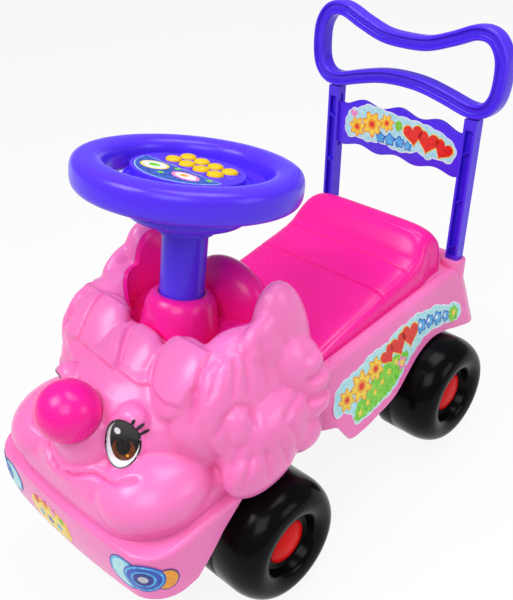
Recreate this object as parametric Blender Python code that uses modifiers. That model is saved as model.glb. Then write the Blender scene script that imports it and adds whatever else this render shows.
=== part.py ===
"""Ride-on walker car with an animal's face: moulded body, tank-like cowl, seat, push handle,
and a steering wheel with music keys that turns the front axle directly.

Metres, +Z up. The front is -Y, the driver's left is +X, and the wheels stand on z = 0.
"""
import math

import bmesh
import bpy
from mathutils import Matrix, Vector

# Fits and walls
GAP = 0.0003
WALL = 0.0035

# Wheels and axles
WHEEL_RADIUS = 0.0655
WHEEL_WIDTH = 0.074
WHEEL_INNER_X = 0.085
FRONT_AXLE_Y = -0.127
WHEELBASE = 0.282
REAR_AXLE_Y = FRONT_AXLE_Y + WHEELBASE
AXLE_RADIUS = 0.004
DISH_RADIUS = 0.031
DISH_DEPTH = 0.016
CAP_RADIUS = 0.0235
CAP_HEIGHT = 0.0065
HUB_POCKET_RADIUS = 0.0105
HUB_POCKET_DEPTH = 0.010
NUT_RADIUS = 0.0085
NUT_HEIGHT = 0.0016
AXLE_END = 0.0045
CREST_RADIUS = 0.046
TREAD_WALL = 0.0045
BEARING_RADIUS = 0.0085
BEARING_COLLAR = 0.0125

# Rear body
DECK_Z = 0.192
BODY_TOP_HALF = 0.1085
BODY_FLARE = 0.0215
BODY_HALF = BODY_TOP_HALF + BODY_FLARE
REAR_OVERHANG = 0.105
BODY_REAR_Y = REAR_AXLE_Y + REAR_OVERHANG
BODY_FRONT_Y = -0.045
BODY_BOTTOM_Z = 0.088
BODY_CORNER = 0.034
BODY_EDGE = 0.008
# Lower edge of the rear body: distance behind the rear axle and height over the top of the wheel
SKIRT_EDGE = ((-0.215, -0.0060), (-0.177, -0.0062), (-0.169, -0.0130), (-0.163, -0.0285), (-0.138, -0.0327),
              (-0.1175, -0.0312), (-0.0801, -0.0260), (-0.0491, -0.0115), (-0.0304, -0.0025), (0.0, 0.0038),
              (0.0273, -0.0008), (0.0503, -0.0085), (0.086, -0.0190), (0.125, -0.0300))

# Front of the body
BUMPER_HALF = 0.127
BUMPER_FRONT_Y = -0.2757
BUMPER_BOW = 0.0075
BUMPER_BOTTOM_Z = 0.092
BUMPER_TOP_Z = 0.1465
BUMPER_CORNER = 0.034
BUMPER_EDGE = 0.005
SPINE_HALF = 0.070
SPINE_BOTTOM_Z = 0.104
HANGER_X = 0.058
HANGER_LENGTH = 0.034
HANGER_THICKNESS = 0.006
SPINE_FRONT_Y = BUMPER_FRONT_Y + 0.038

# Seat
SEAT_HALF = 0.0965
SEAT_FRONT_Y = -0.012
SEAT_REAR_Y = BODY_REAR_Y - 0.0395
SEAT_LENGTH = SEAT_REAR_Y - SEAT_FRONT_Y
# Share of the seat's length and height of its middle line above the deck
SEAT_PROFILE = ((0.0, 0.0080), (0.181, 0.0155), (0.353, 0.0205), (0.473, 0.0250), (0.654, 0.0315),
                (0.731, 0.0380), (0.809, 0.0540), (0.860, 0.0580), (0.912, 0.0540), (0.963, 0.0380),
                (1.0, 0.0160))
SEAT_GROOVES = (0.473, 0.669)
SEAT_STATIONS = (0.0, 0.011, 0.129, 0.267, 0.387, 0.568, 0.714, 0.753, 0.787, 0.817, 0.860, 0.903, 0.933,
                 0.963, 0.985, 1.0)
GROOVE_DEPTH = 0.0012
GROOVE_WIDTH = 0.0018

# Steering axis: it leans back by STEER_LEAN and passes through the middle of the wheel
STEER_Y = -0.067
STEER_Z = 0.3945
STEER_LEAN = math.radians(15.0)
RIM_RADIUS = 0.0885
RIM_HALF_WIDTH = 0.0150
RIM_HALF_HEIGHT = 0.0152
WEB_TOP = -0.0030
WEB_THICKNESS = 0.005
HUB_RADIUS = 0.0572
SLOT_INNER = HUB_RADIUS + 0.0018
SLOT_OUTER = RIM_RADIUS - RIM_HALF_WIDTH - 0.0010
SLOT_ANGLE = math.radians(40.0)
PAD_HALF_X = HUB_RADIUS - 0.0017
PAD_HALF_Y = PAD_HALF_X - 0.0080
PAD_OFFSET = -0.0020
PAD_TOP = 0.0068
PAD_WALL = 0.0020
KEY_RADIUS = 0.0077
KEY_FLANGE = 0.0008
KEY_PITCH = 0.0184
KEY_ROW_PITCH = 0.0176
KEY_ROW_Y = 0.0050
KEY_TOP = 0.0104
KEY_TRAVEL = 0.0015
KEY_CLEARANCE = 0.0004
KEYS_IN_ROW = 4
KEY_FLANGE_HEIGHT = 0.0010
BOARD_THICKNESS = 0.0016
HUB_BOTTOM = 0.0505
HUB_WALL = 0.0025
HUB_SCREW_RING = HUB_RADIUS - 0.0172
SCREW_RADIUS = 0.0014
SCREW_HEAD_RADIUS = 0.0032
SCREW_SEAT = 0.030
SPEAKER_RADIUS = 0.018

# Column, rod and yoke, as distances down the steering axis
BASIN_FLOOR_Z = 0.246
BASIN_FLOOR_AT = (STEER_Z - BASIN_FLOOR_Z) / math.cos(STEER_LEAN)
COLUMN_RADIUS = 0.0213
COLUMN_TOP = HUB_BOTTOM - 0.0065
COLUMN_BOTTOM = BASIN_FLOOR_AT + 0.0143
COLUMN_FLANGE = COLUMN_RADIUS + 0.0032
ROD_RADIUS = 0.005
ROD_TOP = HUB_BOTTOM - 0.003
PIN_RADIUS = 0.002
COLUMN_PIN_AT = COLUMN_BOTTOM - 0.018
ROD_BOSS_RADIUS = 0.0165
ROD_BOSS_LENGTH = 0.030
BUSH_RADIUS = 0.0092
BUSH_FLANGE = 0.0021
TOP_PLATE_AT = (STEER_Z - BUMPER_TOP_Z) / math.cos(STEER_LEAN)
ROD_BOSS_LOW = TOP_PLATE_AT + 0.026
YOKE_TOP = ROD_BOSS_LOW + 2 * GAP + BUSH_FLANGE
YOKE_PIN_AT = YOKE_TOP + 0.0146
ROD_BOTTOM = YOKE_TOP + 0.0366
YOKE_BOSS_RADIUS = 0.015
YOKE_BOSS_LENGTH = 0.046

# Head, cowl and nose
HEAD_VOXEL = 0.0048
HEAD_KEEP = 0.0275
HEAD_WALL = 0.0065
HEAD_BASE_Z = BUMPER_TOP_Z + GAP
BASIN_HALF = 0.084
BASIN_FRONT_Y = -0.139
BASIN_REAR_Y = 0.020
BOSS_RADIUS = 0.036
BOSS_TOP = BASIN_FLOOR_AT - 0.0417
BOSS_FOOT = BASIN_FLOOR_AT + 0.018
POMMEL_CENTRE = (0.0, -0.038, 0.2365)
POMMEL_RADII = (0.055, 0.0285, 0.057)
NOSE_CENTRE = (0.0, -0.238, 0.236)
NOSE_RADII = (0.0305, 0.029, 0.0285)
NOSE_PEG_RADIUS = 0.007
NOSE_PEG_LENGTH = 0.040

# Handle, in its own leaning plane measured up from the post foot
HANDLE_Y = BODY_REAR_Y - 0.0300
HANDLE_Z = 0.199
HANDLE_LEAN = math.atan(0.14)
POST_X = BODY_TOP_HALF - 0.013
POST_WIDTH = 0.0155
POST_DEPTH = 0.0135
POST_WEB = 0.0048
POST_FLANGE = 0.0030
POST_FOOT = 0.034
POST_SPIGOT = 0.014
POST_RIBS = (0.015, 0.071, 0.127)
LOOP_WIDTH = 0.0160
LOOP_DEPTH = 0.0190
# Half of the tube's path: share of the post's distance from the middle, and height up the handle's plane
LOOP_PATH = ((0.0, 0.2310), (0.314, 0.2330), (0.628, 0.2425), (0.9215, 0.2530), (1.131, 0.2500),
             (1.2565, 0.2330), (1.2796, 0.2080), (1.241, 0.1880), (1.126, 0.1760), (0.9425, 0.1735),
             (0.628, 0.1810), (0.314, 0.1875), (0.0, 0.1895))
POST_TOP = LOOP_PATH[9][1] - LOOP_WIDTH / 2 - 0.0015
PLATE_THICKNESS = 0.0045
PLATE_LOW = 0.0970
PLATE_HIGH = 0.1530
PLATE_WAVE = 0.0032
PLATE_GROOVE = 0.0016
COLLAR_RADIUS = 0.0145
COLLAR_HEIGHT = 0.006

# Shared resolution of round pieces
ROUND = 16

COLOURS = {
    "body_pink": ((0.93, 0.27, 0.60), 0.28, 0.0),
    "hot_pink": ((0.98, 0.02, 0.36), 0.25, 0.0),
    "violet": ((0.14, 0.05, 0.90), 0.30, 0.0),
    "black": ((0.012, 0.014, 0.015), 0.32, 0.0),
    "red": ((0.80, 0.01, 0.01), 0.30, 0.0),
    "yellow": ((0.95, 0.62, 0.02), 0.35, 0.0),
    "steel": ((0.55, 0.56, 0.58), 0.30, 1.0),
    "nylon": ((0.85, 0.85, 0.82), 0.45, 0.0),
    "board": ((0.03, 0.22, 0.08), 0.50, 0.0),
    "rubber": ((0.30, 0.31, 0.33), 0.70, 0.0),
}


def clear_scene():
    for obj in list(bpy.data.objects):
        bpy.data.objects.remove(obj, do_unlink=True)


def make_collection(name):
    group = bpy.data.collections.new(name)
    bpy.context.scene.collection.children.link(group)
    return group


clear_scene()
PARTS = make_collection("walker_car")
CUTTERS = make_collection("cutters")


def material(name):
    found = bpy.data.materials.get(name)
    if found:
        return found
    colour, roughness, metallic = COLOURS[name]
    made = bpy.data.materials.new(name)
    made.use_nodes = True
    shader = made.node_tree.nodes["Principled BSDF"]
    shader.inputs["Base Color"].default_value = (*colour, 1.0)
    shader.inputs["Roughness"].default_value = roughness
    shader.inputs["Metallic"].default_value = metallic
    made.diffuse_color = (*colour, 1.0)
    return made


def add_object(name, mesh, colour, group=None):
    obj = bpy.data.objects.new(name, mesh)
    (group or PARTS).objects.link(obj)
    if colour:
        mesh.materials.clear()
        mesh.materials.append(material(colour))
    return obj


def smooth(mesh, angle=35.0):
    mesh.shade_smooth()
    mesh.set_sharp_from_angle(angle=math.radians(angle))


def baked(obj, name, colour, group=None):
    """The evaluated shape of obj in world space, as a plain mesh object; obj is removed."""
    bpy.context.view_layer.update()
    graph = bpy.context.evaluated_depsgraph_get()
    mesh = bpy.data.meshes.new_from_object(obj.evaluated_get(graph))
    mesh.transform(obj.matrix_world)
    bm = bmesh.new()
    bm.from_mesh(mesh)
    bmesh.ops.remove_doubles(bm, verts=bm.verts, dist=0.000005)
    bmesh.ops.recalc_face_normals(bm, faces=bm.faces)
    bm.to_mesh(mesh)
    bm.free()
    bpy.data.objects.remove(obj, do_unlink=True)
    return add_object(name, mesh, colour, group)


def combine(target, other, operation):
    """Boolean of two mesh objects; other is used up."""
    change = target.modifiers.new("cut", "BOOLEAN")
    change.operation = operation
    change.object = other
    bpy.context.view_layer.update()
    graph = bpy.context.evaluated_depsgraph_get()
    mesh = bpy.data.meshes.new_from_object(target.evaluated_get(graph))
    target.modifiers.remove(change)
    target.data = mesh
    bpy.data.objects.remove(other, do_unlink=True)
    return target


def cut(target, other):
    return combine(target, other, "DIFFERENCE")


def join(target, other):
    return combine(target, other, "UNION")


def copy_of(obj, name="copy"):
    twin = bpy.data.objects.new(name, obj.data.copy())
    twin.matrix_world = obj.matrix_world.copy()
    CUTTERS.objects.link(twin)
    return twin


def place(obj, matrix):
    obj.data.transform(matrix)
    return obj


def ring_loft(name, rings, colour=None, group=None):
    """A closed solid through rings of equal length, each a loop of points."""
    bm = bmesh.new()
    loops = [[bm.verts.new(point) for point in ring] for ring in rings]
    count = len(loops[0])
    for low, high in zip(loops, loops[1:]):
        for k in range(count):
            nxt = (k + 1) % count
            bm.faces.new((low[k], low[nxt], high[nxt], high[k]))
    bm.faces.new(list(reversed(loops[0])))
    bm.faces.new(loops[-1])
    bmesh.ops.recalc_face_normals(bm, faces=bm.faces)
    mesh = bpy.data.meshes.new(name)
    bm.to_mesh(mesh)
    bm.free()
    smooth(mesh)
    return add_object(name, mesh, colour, group)


def turned(name, profile, colour=None, closed=False, steps=ROUND, group=None):
    """A profile of (radius, height), outer side top to bottom, turned about Z."""
    mesh = bpy.data.meshes.new(name)
    points = [(radius, 0.0, height) for radius, height in profile]
    edges = [(k, k + 1) for k in range(len(points) - 1)]
    if closed:
        edges.append((len(points) - 1, 0))
    mesh.from_pydata(points, edges, [])
    obj = add_object(name, mesh, colour, group)
    screw = obj.modifiers.new("turn", "SCREW")
    screw.steps = steps
    screw.render_steps = steps
    screw.use_merge_vertices = True
    screw.merge_threshold = 0.00001
    screw.use_smooth_shade = True
    made = baked(obj, name, colour, group)
    smooth(made.data)
    return made


def outline_solid(name, outlines, thickness, colour=None, group=None, bevel=0.0):
    """Flat outlines in XY, holes included, as a slab centred on z = 0."""
    curve = bpy.data.curves.new(name, "CURVE")
    curve.dimensions = "2D"
    curve.fill_mode = "BOTH"
    curve.extrude = thickness / 2 - bevel
    curve.bevel_depth = bevel
    curve.bevel_resolution = 1
    curve.offset = -bevel
    for outline in outlines:
        spline = curve.splines.new("POLY")
        spline.points.add(len(outline) - 1)
        for point, (x, y) in zip(spline.points, outline):
            point.co = (x, y, 0.0, 1.0)
        spline.use_cyclic_u = True
    obj = add_object(name, curve, None, group)
    made = baked(obj, name, colour, group)
    smooth(made.data)
    return made


def cylinder(name, radius, length, colour=None, group=None, steps=ROUND):
    bm = bmesh.new()
    bmesh.ops.create_cone(bm, cap_ends=True, segments=steps, radius1=radius, radius2=radius, depth=length)
    mesh = bpy.data.meshes.new(name)
    bm.to_mesh(mesh)
    bm.free()
    smooth(mesh)
    return add_object(name, mesh, colour, group)


def block(name, low, high, colour=None, group=None):
    """A box between two corners."""
    bm = bmesh.new()
    bmesh.ops.create_cube(bm, size=1.0)
    size = [b - a for a, b in zip(low, high)]
    centre = [(a + b) / 2 for a, b in zip(low, high)]
    bmesh.ops.scale(bm, vec=size, verts=bm.verts)
    bmesh.ops.translate(bm, vec=centre, verts=bm.verts)
    mesh = bpy.data.meshes.new(name)
    bm.to_mesh(mesh)
    bm.free()
    return add_object(name, mesh, colour, group)


def rounded_rectangle(half_x, y_front, y_rear, radius, z, bow=0.0, steps=3):
    """Points of a rounded rectangle seen from above; the front side may bow forward by bow."""
    points = []
    corners = ((half_x - radius, y_rear - radius, 0.0), (radius - half_x, y_rear - radius, 90.0),
               (radius - half_x, y_front + radius, 180.0), (half_x - radius, y_front + radius, 270.0))
    for cx, cy, start in corners:
        for k in range(steps + 1):
            angle = math.radians(start + 90.0 * k / steps)
            points.append((cx + radius * math.cos(angle), cy + radius * math.sin(angle)))
        if start == 180.0:
            inner = half_x - radius
            points.extend((inner * side, y_front) for side in (-0.4, 0.4))
    front = (y_front + y_rear) / 2
    shaped = []
    for x, y in points:
        if y < front:
            y += bow * (x / half_x) ** 2
        shaped.append((x, y, z))
    return shaped


def arc(centre_x, centre_y, radius_x, radius_y, start, end, steps):
    points = []
    for k in range(steps + 1):
        angle = math.radians(start + (end - start) * k / steps)
        points.append((centre_x + radius_x * math.cos(angle), centre_y + radius_y * math.sin(angle)))
    return points


def smooth_value(knots, at):
    """Height of a smooth curve through knots (position, height)."""
    last = len(knots) - 1
    if at <= knots[0][0]:
        return knots[0][1]
    for k in range(last):
        (x1, y1), (x2, y2) = knots[k], knots[k + 1]
        if at <= x2:
            x0, y0 = knots[max(k - 1, 0)]
            x3, y3 = knots[min(k + 2, last)]
            slope1 = (y2 - y0) / (x2 - x0)
            slope2 = (y3 - y1) / (x3 - x1)
            t = (at - x1) / (x2 - x1)
            span = x2 - x1
            return ((2 * t**3 - 3 * t**2 + 1) * y1 + (t**3 - 2 * t**2 + t) * span * slope1
                    + (3 * t**2 - 2 * t**3) * y2 + (t**3 - t**2) * span * slope2)
    return knots[last][1]


def steer_matrix(along=0.0):
    """World matrix of the steering axis, with along metres down the axis from the wheel's middle."""
    axis = Vector((0.0, math.sin(STEER_LEAN), math.cos(STEER_LEAN)))
    origin = Vector((0.0, STEER_Y, STEER_Z)) - axis * along
    return Matrix.Translation(origin) @ Matrix.Rotation(-STEER_LEAN, 4, "X")


def make_steering_group():
    """Empty on the steering axis that carries every piece that turns with the steering wheel."""
    group = bpy.data.objects.new("steering_group", None)
    PARTS.objects.link(group)
    group.matrix_world = steer_matrix()
    return group


def hang_on(obj, frame, carrier=None):
    """Give a piece that lies in world space its own origin and axes, and the empty that carries it."""
    obj.data.transform(frame.inverted())
    if carrier:
        obj.parent = carrier
        obj.matrix_basis = steer_matrix().inverted() @ frame
    else:
        obj.matrix_basis = frame


def handle_matrix():
    """World matrix of the handle's plane: X across, Y up the posts, Z to the front."""
    lean = Matrix.Rotation(-HANDLE_LEAN, 4, "X")
    stand = Matrix.Rotation(math.pi / 2, 4, "X")
    return Matrix.Translation((0.0, HANDLE_Y, HANDLE_Z)) @ lean @ stand


def side_matrix(side, x, y, z):
    """Turned pieces' +Z to the outside of one side of the car."""
    turn = Matrix.Rotation(side * math.pi / 2, 4, "Y")
    return Matrix.Translation((side * x, y, z)) @ turn


# An outline drawn as (y, z) to its place, with the slab's thickness along X
YZ_TO_XY = Matrix(((0, 0, 1, 0), (1, 0, 0, 0), (0, 1, 0, 0), (0, 0, 0, 1)))


# Body

def body_levels(inset, bottom):
    """Rings of the rear body from its skirt to its rounded deck edge."""
    rings = []
    top = DECK_Z - inset
    knee = top - BODY_EDGE
    for z in (bottom, knee):
        share = (z - BODY_BOTTOM_Z) / (DECK_Z - BODY_EDGE - BODY_BOTTOM_Z)
        half = BODY_HALF + (BODY_TOP_HALF - BODY_HALF) * share - inset
        rear = BODY_REAR_Y - 0.35 * (BODY_HALF - BODY_TOP_HALF) * share - inset
        rings.append((half, rear, z))
    half, rear, _ = rings[-1]
    for k in range(1, 3):
        angle = math.radians(45.0 * k)
        draw = BODY_EDGE * (1.0 - math.cos(angle))
        rings.append((half - draw, rear - draw, knee + BODY_EDGE * math.sin(angle)))
    return [rounded_rectangle(half, BODY_FRONT_Y + inset, rear, BODY_CORNER - inset, z)
            for half, rear, z in rings]


def bumper_levels(inset, bottom):
    """Rings of the front body from the bumper's lower edge to its top ledge."""
    top = BUMPER_TOP_Z - inset
    knee = top - BUMPER_EDGE
    middle = (BUMPER_BOTTOM_Z + knee) / 2
    rings = [(bottom, 0.0015), (middle, 0.0), (knee, 0.0015)]
    for k in range(1, 3):
        angle = math.radians(45.0 * k)
        rings.append((knee + BUMPER_EDGE * math.sin(angle), 0.0015 + BUMPER_EDGE * (1 - math.cos(angle))))
    return [rounded_rectangle(BUMPER_HALF - draw - inset, BUMPER_FRONT_Y + draw + inset,
                              BODY_FRONT_Y + WALL - inset, BUMPER_CORNER - draw - inset, z, BUMPER_BOW)
            for z, draw in rings]


def skirt_cutter():
    """Everything below the body's lower edge, which rises over the rear wheel."""
    edge = [(REAR_AXLE_Y + behind, 2 * WHEEL_RADIUS + above) for behind, above in SKIRT_EDGE]
    ends = [y for y, _ in edge]
    stations = ends + [(low + high) / 2 for low, high in zip(ends[3:], ends[4:])]
    top = [(y, smooth_value(edge, y)) for y in sorted(stations)]
    outline = [(ends[-1], 0.0)] + top[::-1] + [(ends[0], 0.0)]
    solid = outline_solid("skirt_cutter", [outline], 4 * BODY_HALF, group=CUTTERS)
    return place(solid, YZ_TO_XY)


def well_cutter(side):
    """Front wheel well: it takes the skirt away behind the bumper's slanted end."""
    roof = BUMPER_TOP_Z - WALL - GAP
    rear = BODY_FRONT_Y - GAP
    axle = FRONT_AXLE_Y
    low = BUMPER_BOTTOM_Z
    front = axle - 0.103
    slant = [(axle - 0.031, roof), (axle - 0.060, low + 0.032), (axle - 0.095, low), (front, low - 0.012)]
    outline = [(rear, 0.0), (rear, roof)] + slant + [(front, 0.0)]
    width = WHEEL_WIDTH + 0.006
    solid = outline_solid("well_cutter", [outline], width, group=CUTTERS)
    place(solid, YZ_TO_XY)
    return place(solid, Matrix.Translation((side * (SPINE_HALF + GAP + width / 2), 0.0, 0.0)))


def post_prism(extra, low, high, side):
    """The post's outer section, grown by extra, between two stations of the handle plane."""
    half_x = POST_WIDTH / 2 + extra
    half_y = POST_DEPTH / 2 + extra
    middle = side * POST_X
    corners = (middle - half_x, low, -half_y), (middle + half_x, high, half_y)
    return place(block("post_prism", *corners, group=CUTTERS), handle_matrix())


def make_chassis():
    rear = ring_loft("chassis", body_levels(0.0, BODY_BOTTOM_Z), "body_pink")
    front = ring_loft("front_body", bumper_levels(0.0, BUMPER_BOTTOM_Z), group=CUTTERS)
    body = join(rear, front)
    cut(body, ring_loft("rear_hollow", body_levels(WALL, BODY_BOTTOM_Z - 0.02), group=CUTTERS))
    cut(body, ring_loft("front_hollow", bumper_levels(WALL, BUMPER_BOTTOM_Z - 0.02), group=CUTTERS))
    cut(body, skirt_cutter())
    for side in (1, -1):
        cut(body, well_cutter(side))
    # Spine walls between the front wheels, joined to the bumper and the rear body
    spine_top = BUMPER_TOP_Z - WALL / 2
    for side in (1, -1):
        outer = side * SPINE_HALF
        inner = side * (SPINE_HALF - WALL)
        wall = block("spine_wall", (min(inner, outer), SPINE_FRONT_Y, SPINE_BOTTOM_Z),
                     (max(inner, outer), 0.000, spine_top), group=CUTTERS)
        join(body, wall)
    for y in (SPINE_FRONT_Y, -0.004):
        rib = block("cross_rib", (-SPINE_HALF, y, SPINE_BOTTOM_Z), (SPINE_HALF, y + WALL, spine_top),
                    group=CUTTERS)
        join(body, rib)
    # Lower bearing of the steering rod
    boss = cylinder("rod_boss", ROD_BOSS_RADIUS, ROD_BOSS_LENGTH, group=CUTTERS, steps=24)
    join(body, place(boss, steer_matrix(ROD_BOSS_LOW - ROD_BOSS_LENGTH / 2)))
    trim = block("boss_trim", (-0.03, -0.20, BUMPER_TOP_Z), (0.03, -0.06, BUMPER_TOP_Z + 0.03),
                 group=CUTTERS)
    cut(body, trim)
    bore = cylinder("rod_bore", BUSH_RADIUS + GAP, 0.08, group=CUTTERS, steps=20)
    cut(body, place(bore, steer_matrix(TOP_PLATE_AT)))
    # Hangers of the rear axle
    for side in (1, -1):
        ends = sorted((side * HANGER_X, side * (HANGER_X + HANGER_THICKNESS)))
        low = (ends[0], REAR_AXLE_Y - HANGER_LENGTH / 2, WHEEL_RADIUS - 0.014)
        high = (ends[1], REAR_AXLE_Y + HANGER_LENGTH / 2, DECK_Z - WALL / 2)
        join(body, block("hanger", low, high, group=CUTTERS))
        hole = cylinder("hanger_hole", BEARING_RADIUS + GAP, 0.04, group=CUTTERS)
        cut(body, place(hole, side_matrix(side, HANGER_X, REAR_AXLE_Y, WHEEL_RADIUS)))
    # Stiffening ribs under the deck
    for y in (0.060, REAR_AXLE_Y - 0.0015):
        rib = block("deck_rib", (-0.100, y, DECK_Z - 0.022), (0.100, y + 0.003, DECK_Z - WALL / 2),
                    group=CUTTERS)
        join(body, rib)
    # Sockets of the handle posts
    for side in (1, -1):
        collar = cylinder("collar", COLLAR_RADIUS, POST_FOOT + 0.012 + COLLAR_HEIGHT, group=CUTTERS)
        middle = (COLLAR_HEIGHT - POST_FOOT - 0.012) / 2 - (HANDLE_Z - DECK_Z)
        stand = handle_matrix() @ Matrix.Translation((side * POST_X, middle, 0.0))
        join(body, place(collar, stand @ Matrix.Rotation(math.pi / 2, 4, "X")))
        cut(body, post_prism(GAP, -POST_FOOT - GAP, 0.05, side))
    smooth(body.data)
    return body


# Head, cowl and nose

def ellipsoid_lumps(lumps, extra=None):
    """One mesh of overlapping ellipsoids: each has a centre, radii, turns about X, Z, Y and a mirror flag.

    A further solid can be laid in among them.
    """
    bm = bmesh.new()
    if extra:
        bm.from_mesh(extra.data)
        bpy.data.objects.remove(extra, do_unlink=True)
    for centre, radii, turns, mirrored in lumps:
        for side in ((1, -1) if mirrored else (1,)):
            spot = Matrix.Translation((centre[0] * side, centre[1], centre[2]))
            pitch = Matrix.Rotation(math.radians(turns[0]), 4, "X")
            yaw = Matrix.Rotation(math.radians(turns[1]) * side, 4, "Z")
            roll = Matrix.Rotation(math.radians(turns[2]) * side, 4, "Y")
            stretch = Matrix.Diagonal((*radii, 1.0))
            bmesh.ops.create_uvsphere(bm, u_segments=16, v_segments=10, radius=1.0,
                                      matrix=spot @ yaw @ roll @ pitch @ stretch)
    mesh = bpy.data.meshes.new("lumps")
    bm.to_mesh(mesh)
    bm.free()
    return mesh


def face_lumps():
    """Skull, cheeks, bridge of the nose, temples, brows, collar and shoulders of the head."""
    upright = (0.0, 0.0, 0.0)
    return [
        ((0.0, -0.135, 0.190), (0.104, 0.104, 0.070), upright, False),
        ((0.0, -0.068, 0.196), (0.105, 0.066, 0.054), upright, False),
        ((0.068, -0.208, 0.168), (0.050, 0.058, 0.035), upright, True),
        ((0.0, -0.212, 0.166), (0.070, 0.053, 0.032), upright, False),
        ((0.0, -0.220, 0.199), (0.038, 0.036, 0.034), upright, False),
        ((0.080, -0.150, 0.206), (0.035, 0.041, 0.048), upright, True),
        ((0.048, -0.203, 0.229), (0.021, 0.018, 0.013), (35.0, 12.0, 0.0), True),
        ((0.082, -0.108, 0.228), (0.034, 0.062, 0.067), upright, True),
        ((0.087, -0.066, 0.243), (0.027, 0.042, 0.073), upright, True),
    ]


def ear():
    return (0.114, -0.110, 0.188), (0.032, 0.060, 0.044), (0.0, 0.0, 0.0), True


def hair_lumps():
    """Forelocks over the brow, long strands down each side and curls round the ear."""
    upright = (0.0, 0.0, 0.0)
    lumps = [
        ((0.0, -0.166, 0.250), (0.0115, 0.032, 0.013), (38.0, 0.0, 0.0), False),
        ((0.030, -0.170, 0.248), (0.0180, 0.036, 0.016), (40.0, -8.0, 0.0), True),
        ((0.067, -0.160, 0.248), (0.0190, 0.040, 0.016), (48.0, -20.0, 0.0), True),
    ]
    for k in range(5):
        y = -0.152 + 0.0195 * k
        lumps.append(((0.101 + 0.003 * k, y, 0.220 + 0.002 * k), (0.0185, 0.0122, 0.054),
                      (-12.0 + 5.0 * k, 0.0, -14.0), True))
    lumps.append(ear())
    lumps.append(((0.110, -0.064, 0.232), (0.022, 0.030, 0.040), (20.0, 0.0, -14.0), True))
    for y, z in ((-0.160, 0.182), (-0.147, 0.167), (-0.127, 0.162), (-0.106, 0.161), (-0.085, 0.166),
                 (-0.067, 0.178), (-0.054, 0.196), (-0.048, 0.217)):
        lumps.append(((0.128 - 0.004 * (z > 0.19), y, z), (0.0195, 0.0158, 0.0175), upright, True))
    return lumps


def jaw(inset=0.0):
    """Broad lower face that stands on the body and leaves a narrow ledge round it."""
    levels = ((0.110, 0.113, -0.2665), (0.160, 0.114, -0.2670), (0.174, 0.110, -0.2630),
              (0.184, 0.098, -0.2500), (0.189, 0.078, -0.2280))
    rear, corner = -0.030 - inset, 0.050 - inset
    return [rounded_rectangle(half - inset, front + inset, rear, corner, z - inset, BUMPER_BOW)
            for z, half, front in levels]


def skin_over(name, lumps, lower_face, voxel, keep):
    """One closed skin over ellipsoids and the lower face, thinned to keep its share of faces."""
    solid = ring_loft("lower_face", lower_face, group=CUTTERS)
    raw = add_object(name, ellipsoid_lumps(lumps, solid), None, CUTTERS)
    skin = raw.modifiers.new("skin", "REMESH")
    skin.mode = "VOXEL"
    skin.voxel_size = voxel
    soften = raw.modifiers.new("soften", "SMOOTH")
    soften.factor = 0.5
    soften.iterations = 2
    thin = raw.modifiers.new("thin", "DECIMATE")
    thin.ratio = keep
    return baked(raw, name, None, CUTTERS)


def make_head_skin():
    """The head's outer form in one skin, cut flat where it stands on the body."""
    head = skin_over("head", face_lumps() + hair_lumps(), jaw(), HEAD_VOXEL, HEAD_KEEP)
    cut(head, block("floor_cut", (-0.2, -0.4, 0.0), (0.2, 0.2, HEAD_BASE_Z), group=CUTTERS))
    cut(head, block("seat_cut", (-0.2, SEAT_FRONT_Y - GAP, 0.0), (0.2, 0.2, 0.5), group=CUTTERS))
    return head


def basin_prism(inset, z_low, z_high):
    """Upright prism of the opening in the head's top, drawn in by inset."""
    half = BASIN_HALF - inset
    middle = BASIN_FRONT_Y + 0.058
    front = arc(0.0, middle, half, middle - BASIN_FRONT_Y - inset, 180.0, 360.0, 16)
    outline = front + [(half, BASIN_REAR_Y), (-half, BASIN_REAR_Y)]
    solid = outline_solid("basin", [outline], z_high - z_low, group=CUTTERS)
    return place(solid, Matrix.Translation((0.0, 0.0, (z_low + z_high) / 2)))


def head_cavity():
    """Hollow of the head, a wall's thickness inside its skin and open where it stands on the body."""
    inner = []
    for centre, radii, turns, mirrored in face_lumps() + [ear()]:
        if min(radii) > 3 * HEAD_WALL:
            inner.append((centre, [radius - HEAD_WALL for radius in radii], turns, mirrored))
    cavity = skin_over("head_cavity", inner, jaw(HEAD_WALL), HEAD_VOXEL * 2, HEAD_KEEP * 2)
    cut(cavity, basin_prism(-HEAD_WALL, BASIN_FLOOR_Z - WALL - HEAD_WALL, 0.50))
    cut(cavity, block("rear_wall", (-0.2, SEAT_FRONT_Y - 2 * WALL, 0.0), (0.2, 0.2, 0.5), group=CUTTERS))
    cut(cavity, nose_ball(WALL))
    cut(cavity, nose_peg(WALL))
    return cavity


def column_hole(radius, start, end):
    hole = cylinder("column_hole", radius, end - start, group=CUTTERS)
    return place(hole, steer_matrix((start + end) / 2))


def make_head():
    skin = make_head_skin()
    liner_floor = BASIN_FLOOR_Z - WALL
    cowl = combine(copy_of(skin, "cowl"), basin_prism(0.0, liner_floor, 0.40), "INTERSECT")
    cut(skin, basin_prism(-GAP, liner_floor - GAP, 0.40))
    cut(skin, ring_loft("body_space", body_levels(-GAP, BODY_BOTTOM_Z), group=CUTTERS))
    cut(skin, head_cavity())
    cut(skin, column_hole(COLUMN_RADIUS + 0.002, 0.10, 0.20))
    make_nose(skin)
    make_cowl(cowl)
    return skin


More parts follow.
